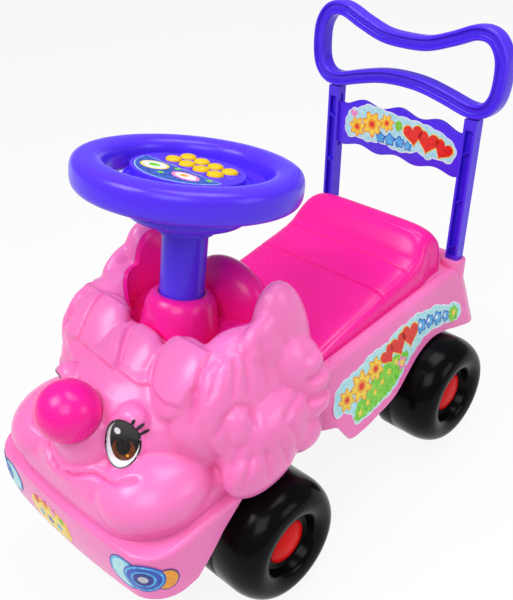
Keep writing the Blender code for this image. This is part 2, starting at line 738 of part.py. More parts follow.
def make_cowl(liner):
    """Hot pink lining of the basin, with the column's boss and the pommel before the seat."""
    cut(liner, basin_prism(WALL, BASIN_FLOOR_Z, 0.50))
    rings = ((BOSS_RADIUS - 0.010, BOSS_TOP), (BOSS_RADIUS - 0.008, BOSS_TOP + 0.001),
             (BOSS_RADIUS - 0.004, BOSS_TOP + 0.006), (BOSS_RADIUS, BASIN_FLOOR_AT - 0.016),
             (BOSS_RADIUS + 0.008, BOSS_FOOT))
    profile = [(0.0, -BOSS_TOP)] + [(radius, -along) for radius, along in rings] + [(0.0, -BOSS_FOOT)]
    boss = place(turned("boss", profile, group=CUTTERS), steer_matrix())
    combine(boss, basin_prism(WALL / 2, BASIN_FLOOR_Z - WALL / 2, 0.50), "INTERSECT")
    join(liner, boss)
    join(liner, pommel(0.0))
    cut(liner, pommel(WALL))
    floor = BASIN_FLOOR_Z - WALL
    cut(liner, block("under", (-0.2, -0.4, 0.0), (0.2, 0.2, floor), group=CUTTERS))
    cut(liner, block("behind", (-0.2, SEAT_FRONT_Y - GAP, 0.0), (0.2, 0.2, 0.5), group=CUTTERS))
    cut(liner, column_hole(COLUMN_RADIUS + 0.001, 0.08, 0.20))
    finish(liner, "cowl", "hot_pink")


def pommel(inset):
    """Dome between the steering boss and the seat, drawn in by inset."""
    return one_lump("pommel", POMMEL_CENTRE, [radius - inset for radius in POMMEL_RADII])


def one_lump(name, centre, radii):
    lump = (centre, radii, (0.0, 0.0, 0.0), False)
    return add_object(name, ellipsoid_lumps([lump]), None, CUTTERS)


def nose_ball(grow):
    return one_lump("ball", NOSE_CENTRE, [radius + grow for radius in NOSE_RADII])


def nose_peg(grow):
    """Peg behind the ball that holds it in the face."""
    rod = cylinder("peg", NOSE_PEG_RADIUS + grow, NOSE_PEG_LENGTH + 2 * grow, group=CUTTERS, steps=12)
    middle = Vector(NOSE_CENTRE) + Vector((0.0, 0.021, -0.014))
    return place(rod, Matrix.Translation(middle) @ Matrix.Rotation(math.pi / 2, 4, "X"))


def make_nose(head):
    nose = join(nose_ball(0.0), nose_peg(0.0))
    cut(head, nose_ball(GAP))
    cut(head, nose_peg(GAP))
    finish(nose, "nose", "hot_pink")


# Seat

def seat_section(y, inset):
    """One cross section of the seat: flat foot, full sides and a gently crowned top."""
    base = DECK_Z + GAP
    share = (y - SEAT_FRONT_Y) / SEAT_LENGTH
    top = DECK_Z + smooth_value(SEAT_PROFILE, share) - inset
    half = SEAT_HALF - inset
    half -= 0.0165 * max(0.0, (share - 0.908) / 0.092) ** 2
    half -= 0.0040 * min(1.0, max(0.0, (share - 0.761) / 0.086))
    low = base if not inset else base - 0.010
    points = []
    for k in range(11):
        angle = math.pi * k / 10
        c, s = math.cos(angle), math.sin(angle)
        x = half * math.copysign(abs(c) ** 0.36, c)
        z = base + (top - base) * abs(s) ** 0.36
        points.append((x, y, z))
    points.append((-half, y, low))
    points.append((half, y, low))
    return points


def make_seat():
    stations = [SEAT_FRONT_Y + share * SEAT_LENGTH for share in SEAT_STATIONS]
    grooves = [SEAT_FRONT_Y + share * SEAT_LENGTH for share in SEAT_GROOVES]
    for groove in grooves:
        stations += [groove - GROOVE_WIDTH, groove, groove + GROOVE_WIDTH]
    rings = []
    for y in sorted(stations):
        ring = seat_section(y, 0.0)
        sink = GROOVE_DEPTH if y in grooves else 0.0
        if y == SEAT_FRONT_Y:
            sink = 0.0025
        rings.append([(x, py, z - sink if z > DECK_Z + 0.004 else z) for x, py, z in ring])
    seat = ring_loft("seat", rings)
    shares = (0.015, 0.18, 0.40, 0.65, 0.731, 0.787, 0.826, 0.860, 0.895, 0.933, 0.955)
    inner = [seat_section(SEAT_FRONT_Y + share * SEAT_LENGTH, WALL) for share in shares]
    cut(seat, ring_loft("seat_hollow", inner, group=CUTTERS))
    finish(seat, "seat", "hot_pink")


# Handle

def loop_points(count):
    """Closed smooth path of the handle's tube through its measured half."""
    half = [(share * POST_X, s) for share, s in LOOP_PATH]
    knots = half + [(-x, s) for x, s in reversed(half[1:-1])]
    points = []
    total = len(knots)
    for k in range(total):
        p0, p1, p2, p3 = (knots[(k + shift) % total] for shift in (-1, 0, 1, 2))
        for step in range(count):
            t = step / count
            points.append(tuple(0.5 * (2 * b + (c - a) * t + (2 * a - 5 * b + 4 * c - d) * t**2
                                       + (3 * b - a - 3 * c + d) * t**3)
                                for a, b, c, d in zip(p0, p1, p2, p3)))
    return points


def loop_section():
    """Section of the tube: rounded, with a groove along its front and its back."""
    w, d = LOOP_WIDTH / 2, LOOP_DEPTH / 2
    quarter = [(w, d * 0.45), (w * 0.56, d), (0.0, d * 0.84)]
    upper = quarter + [(-x, y) for x, y in reversed(quarter[:-1])]
    return upper + [(x, -y) for x, y in reversed(upper)]


def poly_curve(name, points):
    curve = bpy.data.curves.new(name, "CURVE")
    curve.dimensions = "2D"
    curve.fill_mode = "NONE"
    spline = curve.splines.new("POLY")
    spline.points.add(len(points) - 1)
    for point, (x, y) in zip(spline.points, points):
        point.co = (x, y, 0.0, 1.0)
    spline.use_cyclic_u = True
    return curve


def make_loop():
    section = add_object("loop_section", poly_curve("loop_section", loop_section()), None, CUTTERS)
    path = poly_curve("handle_loop", loop_points(2))
    path.dimensions = "3D"
    path.twist_mode = "Z_UP"
    path.bevel_mode = "OBJECT"
    path.bevel_object = section
    loop = baked(add_object("handle_loop", path, None), "handle_loop", None)
    bpy.data.objects.remove(section, do_unlink=True)
    for side in (1, -1):
        cut(loop, spigot(side, GAP))
        # Flat seat where the post meets the tube
        cut(loop, block("post_seat", (side * POST_X - POST_WIDTH / 2 - 0.002, POST_TOP - 0.02, -0.02),
                        (side * POST_X + POST_WIDTH / 2 + 0.002, POST_TOP + GAP, 0.02), group=CUTTERS))
    place(loop, handle_matrix())
    finish(loop, "handle_loop", "violet")


def spigot(side, grow):
    """The tongue on a post's head that fits into the tube."""
    half_x, half_d = 0.0045 + grow, 0.0045 + grow
    return block("spigot", (side * POST_X - half_x, POST_TOP - 0.004, -half_d),
                 (side * POST_X + half_x, POST_TOP + POST_SPIGOT + grow, half_d), group=CUTTERS)


def make_post(side, name):
    """One upright: an H section with slanting ribs, a foot in its socket and a tongue on top."""
    w, d = POST_WIDTH / 2, POST_DEPTH / 2
    web, flange = POST_WEB / 2, POST_FLANGE
    step = w - flange
    outline = [(w, -d), (w, d), (step, d), (step, web), (-step, web), (-step, d), (-w, d), (-w, -d),
               (-step, -d), (-step, -web), (step, -web), (step, -d)]
    length = POST_TOP + POST_FOOT
    post = outline_solid(name, [outline], length)
    place(post, Matrix.Rotation(-math.pi / 2, 4, "X"))
    place(post, Matrix.Translation((side * POST_X, length / 2 - POST_FOOT, 0.0)))
    for low, high in ((-POST_FOOT, 0.004), (POST_TOP - 0.012, POST_TOP)):
        solid = block("solid", (side * POST_X - w, low, -d), (side * POST_X + w, high, d), group=CUTTERS)
        join(post, solid)
    for station in POST_RIBS:
        corner = (w - 0.001, 0.0012, d - 0.0006)
        rib = block("rib", [-size for size in corner], corner, group=CUTTERS)
        lean = Matrix.Rotation(side * math.radians(32.0), 4, "Z")
        place(rib, Matrix.Translation((side * POST_X, station, 0.0)) @ lean)
        join(post, rib)
    join(post, spigot(side, 0.0))
    ends = sorted((side * (POST_X - w - 0.002), side * (POST_X - w + PLATE_GROOVE)))
    half = PLATE_THICKNESS / 2 + GAP
    low, high = (ends[0], PLATE_LOW - 0.006, -half), (ends[1], PLATE_HIGH + 0.002, half)
    cut(post, block("groove", low, high, group=CUTTERS))
    place(post, handle_matrix())
    finish(post, name, "violet")


def plate_edges(x):
    """Lower and upper edge of the back plate at x."""
    share = x / POST_X
    wave = PLATE_WAVE * math.cos(2 * math.pi * 1.75 * share)
    fade = min(1.0, (1.0 - abs(share)) * 6.0)
    low = PLATE_LOW + wave * 0.8 * fade
    high = PLATE_HIGH - 0.0065 * share**2 + wave * fade
    return low, high


def make_back_plate():
    half = POST_X - POST_WIDTH / 2 + PLATE_GROOVE - GAP
    xs = [half * (2 * k / 36 - 1) for k in range(37)]
    outline = [(x, plate_edges(x)[0]) for x in xs] + [(x, plate_edges(x)[1]) for x in reversed(xs)]
    plate = outline_solid("back_plate", [outline], PLATE_THICKNESS)
    place(plate, handle_matrix())
    finish(plate, "back_plate", "violet")


# Steering wheel and its sound unit

def to_wheel(obj):
    """From the wheel's own frame, heights above its middle, to the world."""
    return place(obj, steer_matrix())


def oval(half_x, half_y, centre_y, steps=24):
    angles = [2 * math.pi * k / steps for k in range(steps)]
    return [(half_x * math.cos(angle), centre_y + half_y * math.sin(angle)) for angle in angles]


def slab(name, outlines, low, high, colour=None, group=None):
    solid = outline_solid(name, outlines, high - low, colour, group)
    return place(solid, Matrix.Translation((0.0, 0.0, (low + high) / 2)))


def crescent(middle):
    """Side opening between the web and the rim."""
    outer = []
    inner = []
    for k in range(9):
        angle = middle + SLOT_ANGLE * (k / 4 - 1)
        outer.append((SLOT_OUTER * math.cos(angle), SLOT_OUTER * math.sin(angle)))
        inner.append((SLOT_INNER * math.cos(angle), SLOT_INNER * math.sin(angle)))
    return outer + inner[::-1]


def screw_spots():
    return [(HUB_SCREW_RING * math.cos(angle), HUB_SCREW_RING * math.sin(angle))
            for angle in (math.radians(90.0 + 120.0 * k) for k in range(3))]


def make_steering_wheel():
    rim = turned("steering_wheel", arc(RIM_RADIUS, 0.0, RIM_HALF_WIDTH, RIM_HALF_HEIGHT, 0.0, 324.0, 9),
                 closed=True, steps=24)
    web_low = WEB_TOP - WEB_THICKNESS
    reach = RIM_RADIUS - RIM_HALF_WIDTH + 0.003
    profile = [(0.0, WEB_TOP), (reach, WEB_TOP), (reach, web_low), (0.0, web_low)]
    disc = turned("web", profile, steps=24, group=CUTTERS)
    join(rim, disc)
    for middle in (0.0, math.pi):
        cut(rim, slab("slot", [crescent(middle)], -0.02, 0.02, group=CUTTERS))
    for x, y in screw_spots():
        pilot = cylinder("pilot", SCREW_RADIUS + GAP, 0.010, group=CUTTERS, steps=10)
        cut(rim, place(pilot, Matrix.Translation((x, y, web_low + 0.0037 - 0.005))))
    finish_steered(rim, "steering_wheel", "violet")


def finish_steered(obj, name, colour, spot=(0.0, 0.0, 0.0)):
    """Finish a piece drawn in the wheel's frame, with its origin at spot, on the steering group."""
    finish(to_wheel(obj), name, colour)
    hang_on(obj, steer_matrix() @ Matrix.Translation(spot), STEERING)


def make_hub_cover():
    top = WEB_TOP - WEB_THICKNESS - GAP
    collar = COLUMN_FLANGE + GAP
    outer = [(HUB_RADIUS, top), (HUB_RADIUS, -0.0320), (HUB_RADIUS - 0.0035, -0.0370),
             (collar + HUB_WALL, -0.0425), (collar + HUB_WALL, -HUB_BOTTOM)]
    shelf = 0.0398
    bore = COLUMN_RADIUS + GAP
    inner = [(bore, -HUB_BOTTOM), (bore, -HUB_BOTTOM + 0.003), (collar, -HUB_BOTTOM + 0.003),
             (collar, -shelf), (HUB_RADIUS - 0.0048, -0.0345), (HUB_RADIUS - HUB_WALL, -0.0310),
             (HUB_RADIUS - HUB_WALL, top)]
    hub = turned("hub_cover", outer + inner, closed=True, steps=20)
    seat_z = -SCREW_SEAT
    for x, y in screw_spots():
        boss = cylinder("boss", SCREW_HEAD_RADIUS + 0.0018, top + shelf - 0.0008, group=CUTTERS, steps=8)
        middle = (top - shelf + 0.0008) / 2
        join(hub, place(boss, Matrix.Translation((x, y, middle))))
        bore_hole = cylinder("bore", SCREW_RADIUS + GAP, 0.06, group=CUTTERS, steps=8)
        cut(hub, place(bore_hole, Matrix.Translation((x, y, -0.02))))
        well = cylinder("well", SCREW_HEAD_RADIUS + 0.0004, 0.03, group=CUTTERS, steps=8)
        cut(hub, place(well, Matrix.Translation((x, y, seat_z - 0.015))))
    finish_steered(hub, "hub_cover", "violet")
    for k, (x, y) in enumerate(screw_spots()):
        shank_top = WEB_TOP - WEB_THICKNESS + 0.0030
        profile = [(0.0, shank_top), (SCREW_RADIUS, shank_top), (SCREW_RADIUS, seat_z - GAP),
                   (SCREW_HEAD_RADIUS, seat_z - GAP), (SCREW_HEAD_RADIUS - 0.0002, seat_z - GAP - 0.0018),
                   (0.0, seat_z - GAP - 0.0022)]
        screw = turned("hub_screw_%d" % (k + 1), profile, steps=10)
        place(screw, Matrix.Translation((x, y, 0.0)))
        finish_steered(screw, screw.name, "steel")


def key_spots():
    spots = []
    for row in range(2):
        for k in range(KEYS_IN_ROW):
            x = (k - (KEYS_IN_ROW - 1) / 2) * KEY_PITCH
            spots.append((x, KEY_ROW_Y + row * KEY_ROW_PITCH))
    return spots


def make_sound_box():
    """Oval box with the keys, and the mat and board under them."""
    base = WEB_TOP + GAP
    shell = slab("sound_box", [oval(PAD_HALF_X, PAD_HALF_Y, PAD_OFFSET)], base, PAD_TOP)
    edge = shell.modifiers.new("edge", "BEVEL")
    edge.width = 0.0010
    edge.segments = 1
    edge.limit_method = "ANGLE"
    edge.angle_limit = math.radians(60.0)
    shell = baked(shell, "sound_box", None)
    hollow = slab("hollow", [oval(PAD_HALF_X - PAD_WALL, PAD_HALF_Y - PAD_WALL, PAD_OFFSET)], base - 0.01,
                  PAD_TOP - PAD_WALL, group=CUTTERS)
    cut(shell, hollow)
    for x, y in key_spots():
        hole = cylinder("key_hole", KEY_RADIUS + KEY_CLEARANCE, 0.02, group=CUTTERS, steps=12)
        cut(shell, place(hole, Matrix.Translation((x, y, PAD_TOP))))
    finish_steered(shell, "sound_box", "violet")
    room_x = PAD_HALF_X - PAD_WALL - GAP
    room_y = PAD_HALF_Y - PAD_WALL - GAP
    board = slab("circuit_board", [oval(room_x, room_y, PAD_OFFSET)], base, base + BOARD_THICKNESS)
    finish_steered(board, "circuit_board", "board")
    mat_low = base + BOARD_THICKNESS + GAP
    mat_half_x = KEY_PITCH * (KEYS_IN_ROW - 1) / 2 + KEY_RADIUS
    mat_y = KEY_ROW_Y + KEY_ROW_PITCH / 2
    corners = rounded_rectangle(mat_half_x, mat_y - 0.0165, mat_y + 0.0165, 0.007, 0.0)
    flange_top = PAD_TOP - PAD_WALL - GAP
    flange_low = flange_top - KEY_FLANGE_HEIGHT
    mat = slab("key_mat", [[(x, y) for x, y, _ in corners]], mat_low, flange_low - KEY_TRAVEL - GAP)
    finish_steered(mat, "key_mat", "rubber")
    for k, (x, y) in enumerate(key_spots()):
        rim = KEY_RADIUS + KEY_FLANGE
        profile = [(0.0, KEY_TOP), (KEY_RADIUS * 0.8, KEY_TOP - 0.0007), (KEY_RADIUS, KEY_TOP - 0.0024),
                   (KEY_RADIUS, flange_top), (rim, flange_top), (rim, flange_low), (0.0, flange_low)]
        name = "key_%d" % (k + 1)
        key = turned(name, profile, steps=12)
        place(key, Matrix.Translation((x, y, 0.0)))
        finish_steered(key, name, "yellow", (x, y, 0.0))
    web_low = WEB_TOP - WEB_THICKNESS
    magnet = SPEAKER_RADIUS - 0.007
    profile = [(0.0, web_low - GAP), (SPEAKER_RADIUS, web_low - GAP), (SPEAKER_RADIUS, web_low - 0.004),
               (magnet, web_low - 0.010), (magnet, web_low - 0.017), (0.0, web_low - 0.017)]
    speaker = turned("speaker", profile, steps=16)
    finish_steered(speaker, "speaker", "rubber")


def make_column():
    bore = ROD_RADIUS + GAP
    neck = HUB_BOTTOM - 0.003 - GAP
    profile = [(bore, -COLUMN_TOP), (COLUMN_FLANGE, -COLUMN_TOP), (COLUMN_FLANGE, -neck),
               (COLUMN_RADIUS, -neck), (COLUMN_RADIUS, -COLUMN_BOTTOM), (bore, -COLUMN_BOTTOM)]
    column = turned("steering_column", profile, closed=True, steps=20)
    cut(column, cross_pin(PIN_RADIUS + GAP, 0.06, COLUMN_PIN_AT))
    finish_steered(column, "steering_column", "violet")
    rod = cylinder("steering_rod", ROD_RADIUS, ROD_BOTTOM - ROD_TOP, steps=16)
    place(rod, Matrix.Translation((0.0, 0.0, -(ROD_TOP + ROD_BOTTOM) / 2)))
    for at in (COLUMN_PIN_AT, YOKE_PIN_AT):
        cut(rod, cross_pin(PIN_RADIUS + GAP, 0.03, at))
    finish_steered(rod, "steering_rod", "steel")
    column_pin = cross_pin(PIN_RADIUS, 2 * (COLUMN_RADIUS - 0.001), COLUMN_PIN_AT)
    finish_steered(column_pin, "column_pin", "steel")
    yoke_pin = cross_pin(PIN_RADIUS, 2 * (YOKE_BOSS_RADIUS - 0.002), YOKE_PIN_AT)
    finish_steered(yoke_pin, "yoke_pin", "steel")


def cross_pin(radius, length, at):
    """A pin across the column at a distance down its axis, in the wheel's frame."""
    pin = cylinder("cross_pin", radius, length, group=CUTTERS, steps=10)
    return place(pin, Matrix.Translation((0.0, 0.0, -at)) @ Matrix.Rotation(math.pi / 2, 4, "Y"))


def make_front_end():
    """Lower bearing of the rod, the yoke and the front axle."""
    bore = ROD_RADIUS + GAP
    top = TOP_PLATE_AT + 0.003
    low = ROD_BOSS_LOW + GAP
    flange = ROD_BOSS_RADIUS - 0.002
    profile = [(bore, -top), (BUSH_RADIUS, -top), (BUSH_RADIUS, -low), (flange, -low),
               (flange, -low - BUSH_FLANGE), (bore, -low - BUSH_FLANGE)]
    bush = turned("column_bush", profile, closed=True, steps=16)
    to_wheel(bush)
    finish(bush, "column_bush", "nylon")
    half = WHEEL_INNER_X - GAP
    yoke = block("axle_yoke", (-half, FRONT_AXLE_Y - 0.0115, WHEEL_RADIUS - 0.0105),
                 (half, FRONT_AXLE_Y + 0.0115, WHEEL_RADIUS + 0.0175))
    edge = yoke.modifiers.new("edge", "BEVEL")
    edge.width = 0.002
    edge.segments = 1
    yoke = baked(yoke, "axle_yoke", None)
    neck = block("yoke_neck", (-0.015, FRONT_AXLE_Y - 0.040, WHEEL_RADIUS - 0.0070),
                 (0.015, FRONT_AXLE_Y, WHEEL_RADIUS + 0.0140), group=CUTTERS)
    join(yoke, neck)
    boss = cylinder("yoke_boss", YOKE_BOSS_RADIUS, YOKE_BOSS_LENGTH, group=CUTTERS, steps=20)
    join(yoke, place(boss, steer_matrix(YOKE_TOP + YOKE_BOSS_LENGTH / 2)))
    cut(yoke, place(cylinder("rod_space", bore, 0.060, group=CUTTERS, steps=20),
                    steer_matrix(ROD_BOTTOM + GAP - 0.030)))
    pin_hole = cross_pin(PIN_RADIUS + GAP, 0.06, YOKE_PIN_AT)
    cut(yoke, place(pin_hole, steer_matrix()))
    cut(yoke, axle_rod("axle_space", AXLE_RADIUS + GAP, FRONT_AXLE_Y, 0.1, CUTTERS))
    finish(yoke, "axle_yoke", "black")
    hang_on(yoke, steer_matrix(), STEERING)
    for name, y in (("front_axle", FRONT_AXLE_Y), ("rear_axle", REAR_AXLE_Y)):
        axle = axle_rod(name, AXLE_RADIUS, y, WHEEL_INNER_X + pocket_floor() + AXLE_END, PARTS)
        finish(axle, name, "steel")
        if y == FRONT_AXLE_Y:
            hang_on(axle, steer_matrix(), STEERING)
    for side, word in ((1, "left"), (-1, "right")):
        start = HANGER_X - 0.001
        step = HANGER_X + HANGER_THICKNESS + GAP - start
        end = WHEEL_INNER_X - GAP - start
        inner = AXLE_RADIUS + GAP
        profile = [(inner, end), (BEARING_COLLAR, end), (BEARING_COLLAR, step), (BEARING_RADIUS, step),
                   (BEARING_RADIUS, 0.0), (inner, 0.0)]
        bearing = turned("rear_bush_" + word, profile, closed=True, steps=12)
        place(bearing, side_matrix(side, start, REAR_AXLE_Y, WHEEL_RADIUS))
        finish(bearing, bearing.name, "nylon")


def axle_rod(name, radius, y, half, group):
    rod = cylinder(name, radius, 2 * half, group=group, steps=16)
    return place(rod, Matrix.Translation((0.0, y, WHEEL_RADIUS)) @ Matrix.Rotation(math.pi / 2, 4, "Y"))


# Wheels

def pocket_floor():
    """Height of the hub pocket's floor above the wheel's inner face."""
    return WHEEL_WIDTH - DISH_DEPTH - HUB_POCKET_DEPTH


def make_wheel(side, y, word):
    bore = AXLE_RADIUS + GAP
    dish = WHEEL_WIDTH - DISH_DEPTH
    crest = CREST_RADIUS
    radius = WHEEL_RADIUS
    profile = [(bore, pocket_floor()), (HUB_POCKET_RADIUS, pocket_floor()), (HUB_POCKET_RADIUS, dish),
               (DISH_RADIUS - 0.002, dish), (DISH_RADIUS, dish + 0.002)]
    profile += arc(crest, WHEEL_WIDTH - 0.010, crest - DISH_RADIUS - 0.0005, 0.010, 150.0, 90.0, 1)
    profile += arc(crest, WHEEL_WIDTH - 0.030, radius - crest, 0.030, 60.0, 0.0, 2)
    profile += arc(radius - 0.006, 0.006, 0.006, 0.006, 0.0, -90.0, 1)
    # Open back: the wall runs back inside the tread, over the crest and down to the hub tube
    skin = TREAD_WALL
    profile += [(radius - skin - 0.004, 0.0), (radius - skin, 0.042), (crest + 0.002, WHEEL_WIDTH - 0.008),
                (DISH_RADIUS + 0.0035, dish - skin), (HUB_POCKET_RADIUS + skin, dish - skin),
                (HUB_POCKET_RADIUS + skin, 0.0), (bore, 0.0)]
    tyre = turned("wheel_" + word, profile, closed=True, steps=20)
    frame = side_matrix(side, WHEEL_INNER_X, y, WHEEL_RADIUS)
    carrier = STEERING if y == FRONT_AXLE_Y else None
    finish(place(tyre, frame), "wheel_" + word, "black")
    hang_on(tyre, frame, carrier)
    base = dish + GAP
    spigot_radius = HUB_POCKET_RADIUS - GAP
    spigot_low = pocket_floor() + AXLE_END + 0.001
    profile = [(0.0, base + CAP_HEIGHT), (CAP_RADIUS * 0.65, base + CAP_HEIGHT - 0.0018),
               (CAP_RADIUS, base + 0.0012), (CAP_RADIUS, base), (spigot_radius, base),
               (spigot_radius, spigot_low), (0.0, spigot_low)]
    cap = turned("cap_" + word, profile, steps=12)
    finish(place(cap, frame), "cap_" + word, "red")
    hang_on(cap, frame, carrier)
    low = pocket_floor() + GAP
    profile = [(bore, low + NUT_HEIGHT), (NUT_RADIUS, low + NUT_HEIGHT), (NUT_RADIUS, low), (bore, low)]
    nut = turned("push_nut_" + word, profile, closed=True, steps=10)
    finish(place(nut, frame), "push_nut_" + word, "steel")
    hang_on(nut, frame, carrier)


def finish(obj, name, colour):
    """Clean a finished mesh, name it and give it its one material."""
    for group in list(obj.users_collection):
        group.objects.unlink(obj)
    PARTS.objects.link(obj)
    obj.name = name
    mesh = obj.data
    bm = bmesh.new()
    bm.from_mesh(mesh)
    bmesh.ops.remove_doubles(bm, verts=bm.verts, dist=0.00001)
    bmesh.ops.dissolve_degenerate(bm, edges=bm.edges, dist=0.00001)
    bmesh.ops.delete(bm, geom=[edge for edge in bm.edges if not edge.link_faces], context="EDGES")
    bmesh.ops.delete(bm, geom=[vert for vert in bm.verts if not vert.link_faces], context="VERTS")
    bmesh.ops.recalc_face_normals(bm, faces=bm.faces)
    for face in bm.faces:
        face.material_index = 0
    bm.to_mesh(mesh)
    bm.free()
    mesh.materials.clear()
    mesh.materials.append(material(colour))
    smooth(mesh)
    mesh.name = name
    return obj


STEERING = make_steering_group()


def build():
    finish(make_chassis(), "chassis", "body_pink")
    finish(make_head(), "head", "body_pink")
    make_seat()
    make_loop()
    make_post(1, "post_left")
    make_post(-1, "post_right")
    make_back_plate()
    make_steering_wheel()
    make_hub_cover()
    make_sound_box()
    make_column()
    make_front_end()
    for y, word in ((FRONT_AXLE_Y, "front"), (REAR_AXLE_Y, "rear")):
        make_wheel(1, y, word + "_left")
        make_wheel(-1, y, word + "_right")
    CUTTERS.hide_render = True
    for obj in CUTTERS.objects:
        obj.display_type = "WIRE"


build()
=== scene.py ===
"""Looks of the ride-on walker car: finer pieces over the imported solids, materials, light and camera."""
import math

import bmesh
import bpy
import numpy as np
from mathutils import Matrix, Vector
from mathutils.bvhtree import BVHTree


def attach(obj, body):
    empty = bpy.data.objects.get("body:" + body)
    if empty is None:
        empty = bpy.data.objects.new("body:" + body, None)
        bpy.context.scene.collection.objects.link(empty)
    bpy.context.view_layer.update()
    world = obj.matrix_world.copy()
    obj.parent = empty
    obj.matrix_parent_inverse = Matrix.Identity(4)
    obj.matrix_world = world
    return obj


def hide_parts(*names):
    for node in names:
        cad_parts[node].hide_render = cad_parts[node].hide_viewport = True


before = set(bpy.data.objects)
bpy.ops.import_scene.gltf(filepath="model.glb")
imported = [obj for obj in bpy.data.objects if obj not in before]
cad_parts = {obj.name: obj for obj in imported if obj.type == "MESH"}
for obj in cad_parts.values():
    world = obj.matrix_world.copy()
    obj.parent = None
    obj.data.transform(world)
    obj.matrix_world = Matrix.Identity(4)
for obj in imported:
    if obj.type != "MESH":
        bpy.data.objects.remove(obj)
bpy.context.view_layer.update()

# Sizes shared with the solids
GAP = 0.0003
WALL = 0.0035
WHEEL_RADIUS = 0.0655
WHEEL_WIDTH = 0.074
WHEEL_INNER_X = 0.085
AXLE_Y = {"front": -0.127, "rear": 0.155}
DECK_Z = 0.192
BODY_HALF = 0.13
BODY_TOP_HALF = 0.1085
BODY_REAR_Y = 0.26
BODY_FRONT_Y = -0.045
BODY_BOTTOM_Z = 0.088
BODY_CORNER = 0.034
BODY_EDGE = 0.008
BUMPER_HALF = 0.127
BUMPER_FRONT_Y = -0.2757
BUMPER_BOW = 0.0075
BUMPER_BOTTOM_Z = 0.092
BUMPER_TOP_Z = 0.1465
BUMPER_CORNER = 0.034
BUMPER_EDGE = 0.005
SPINE_HALF = 0.07
SPINE_BOTTOM_Z = 0.104
SEAT_HALF = 0.0965
SEAT_FRONT_Y = -0.012
SEAT_REAR_Y = 0.2205
SEAT_LENGTH = SEAT_REAR_Y - SEAT_FRONT_Y
STEER = Vector((0.0, -0.067, 0.3945))
STEER_LEAN = math.radians(15.0)
RIM_RADIUS = 0.0885
RIM_HALF = 0.015
WEB_TOP = -0.003
WEB_LOW = -0.008
PAD_TOP = 0.0068
HUB_RADIUS = 0.0572
HUB_BOTTOM = 0.0505
COLUMN_RADIUS = 0.0213
COLUMN_BOTTOM = 0.168
BASIN_HALF = 0.084
BASIN_FRONT_Y = -0.139
BASIN_REAR_Y = 0.02
BASIN_FLOOR_Z = 0.246
BASIN_FLOOR_AT = (0.3945 - BASIN_FLOOR_Z) / math.cos(STEER_LEAN)
HANDLE = Vector((0.0, 0.23, 0.199))
HANDLE_LEAN = math.atan(0.14)
POST_X = 0.0955
NOSE_CENTRE = (0.0, -0.238, 0.236)
NOSE_RADII = (0.0305, 0.029, 0.0285)


# Materials

class Nodes:
    """Short calls for building one node material."""

    def __init__(self, name):
        self.material = bpy.data.materials.new(name)
        self.material.use_nodes = True
        self.tree = self.material.node_tree
        self.shader = self.tree.nodes["Principled BSDF"]
        self.place = self.add("ShaderNodeTexCoord").outputs["Object"]

    def add(self, kind, **values):
        node = self.tree.nodes.new(kind)
        for key, value in values.items():
            setattr(node, key, value)
        return node

    def link(self, source, target):
        self.tree.links.new(source, target)

    def noise(self, scale, detail=3.0, rough=0.5, stretch=None):
        node = self.add("ShaderNodeTexNoise")
        for key, value in (("Scale", scale), ("Detail", detail), ("Roughness", rough)):
            node.inputs[key].default_value = value
        place = self.place
        if stretch:
            mapping = self.add("ShaderNodeMapping")
            mapping.inputs["Scale"].default_value = stretch
            self.link(place, mapping.inputs["Vector"])
            place = mapping.outputs["Vector"]
        self.link(place, node.inputs["Vector"])
        return node.outputs["Fac"]

    def ramp(self, factor, stops):
        node = self.add("ShaderNodeValToRGB")
        band = node.color_ramp
        while len(band.elements) < len(stops):
            band.elements.new(0.5)
        for element, (at, value) in zip(band.elements, stops):
            element.position = at
            element.color = (*value, 1.0) if isinstance(value, tuple) else (value, value, value, 1.0)
        self.link(factor, node.inputs["Fac"])
        return node.outputs["Color"]

    def span(self, factor, low, high, out_low, out_high):
        node = self.add("ShaderNodeMapRange")
        for key, value in zip(("From Min", "From Max", "To Min", "To Max"), (low, high, out_low, out_high)):
            node.inputs[key].default_value = value
        self.link(factor, node.inputs["Value"])
        return node.outputs["Result"]

    def mix(self, factor, one, two, blend="MIX"):
        node = self.add("ShaderNodeMix", data_type="RGBA", blend_type=blend)
        sockets = (node.inputs[0], node.inputs[6], node.inputs[7])
        for socket, value in zip(sockets, (factor, one, two)):
            if isinstance(value, bpy.types.NodeSocket):
                self.link(value, socket)
            elif isinstance(value, tuple):
                socket.default_value = (*value, 1.0)
            else:
                socket.default_value = value
        return node.outputs[2]

    def bump(self, heights):
        """A chain of bumps from (height, strength, distance in metres)."""
        last = None
        for height, strength, distance in heights:
            node = self.add("ShaderNodeBump")
            node.inputs["Strength"].default_value = strength
            node.inputs["Distance"].default_value = distance
            self.link(height, node.inputs["Height"])
            if last:
                self.link(last, node.inputs["Normal"])
            last = node.outputs["Normal"]
        self.link(last, self.shader.inputs["Normal"])

    def set(self, **values):
        for key, value in values.items():
            self.shader.inputs[key.replace("_", " ")].default_value = value


def shade(colour, factor):
    return tuple(min(1.0, channel * factor) for channel in colour)


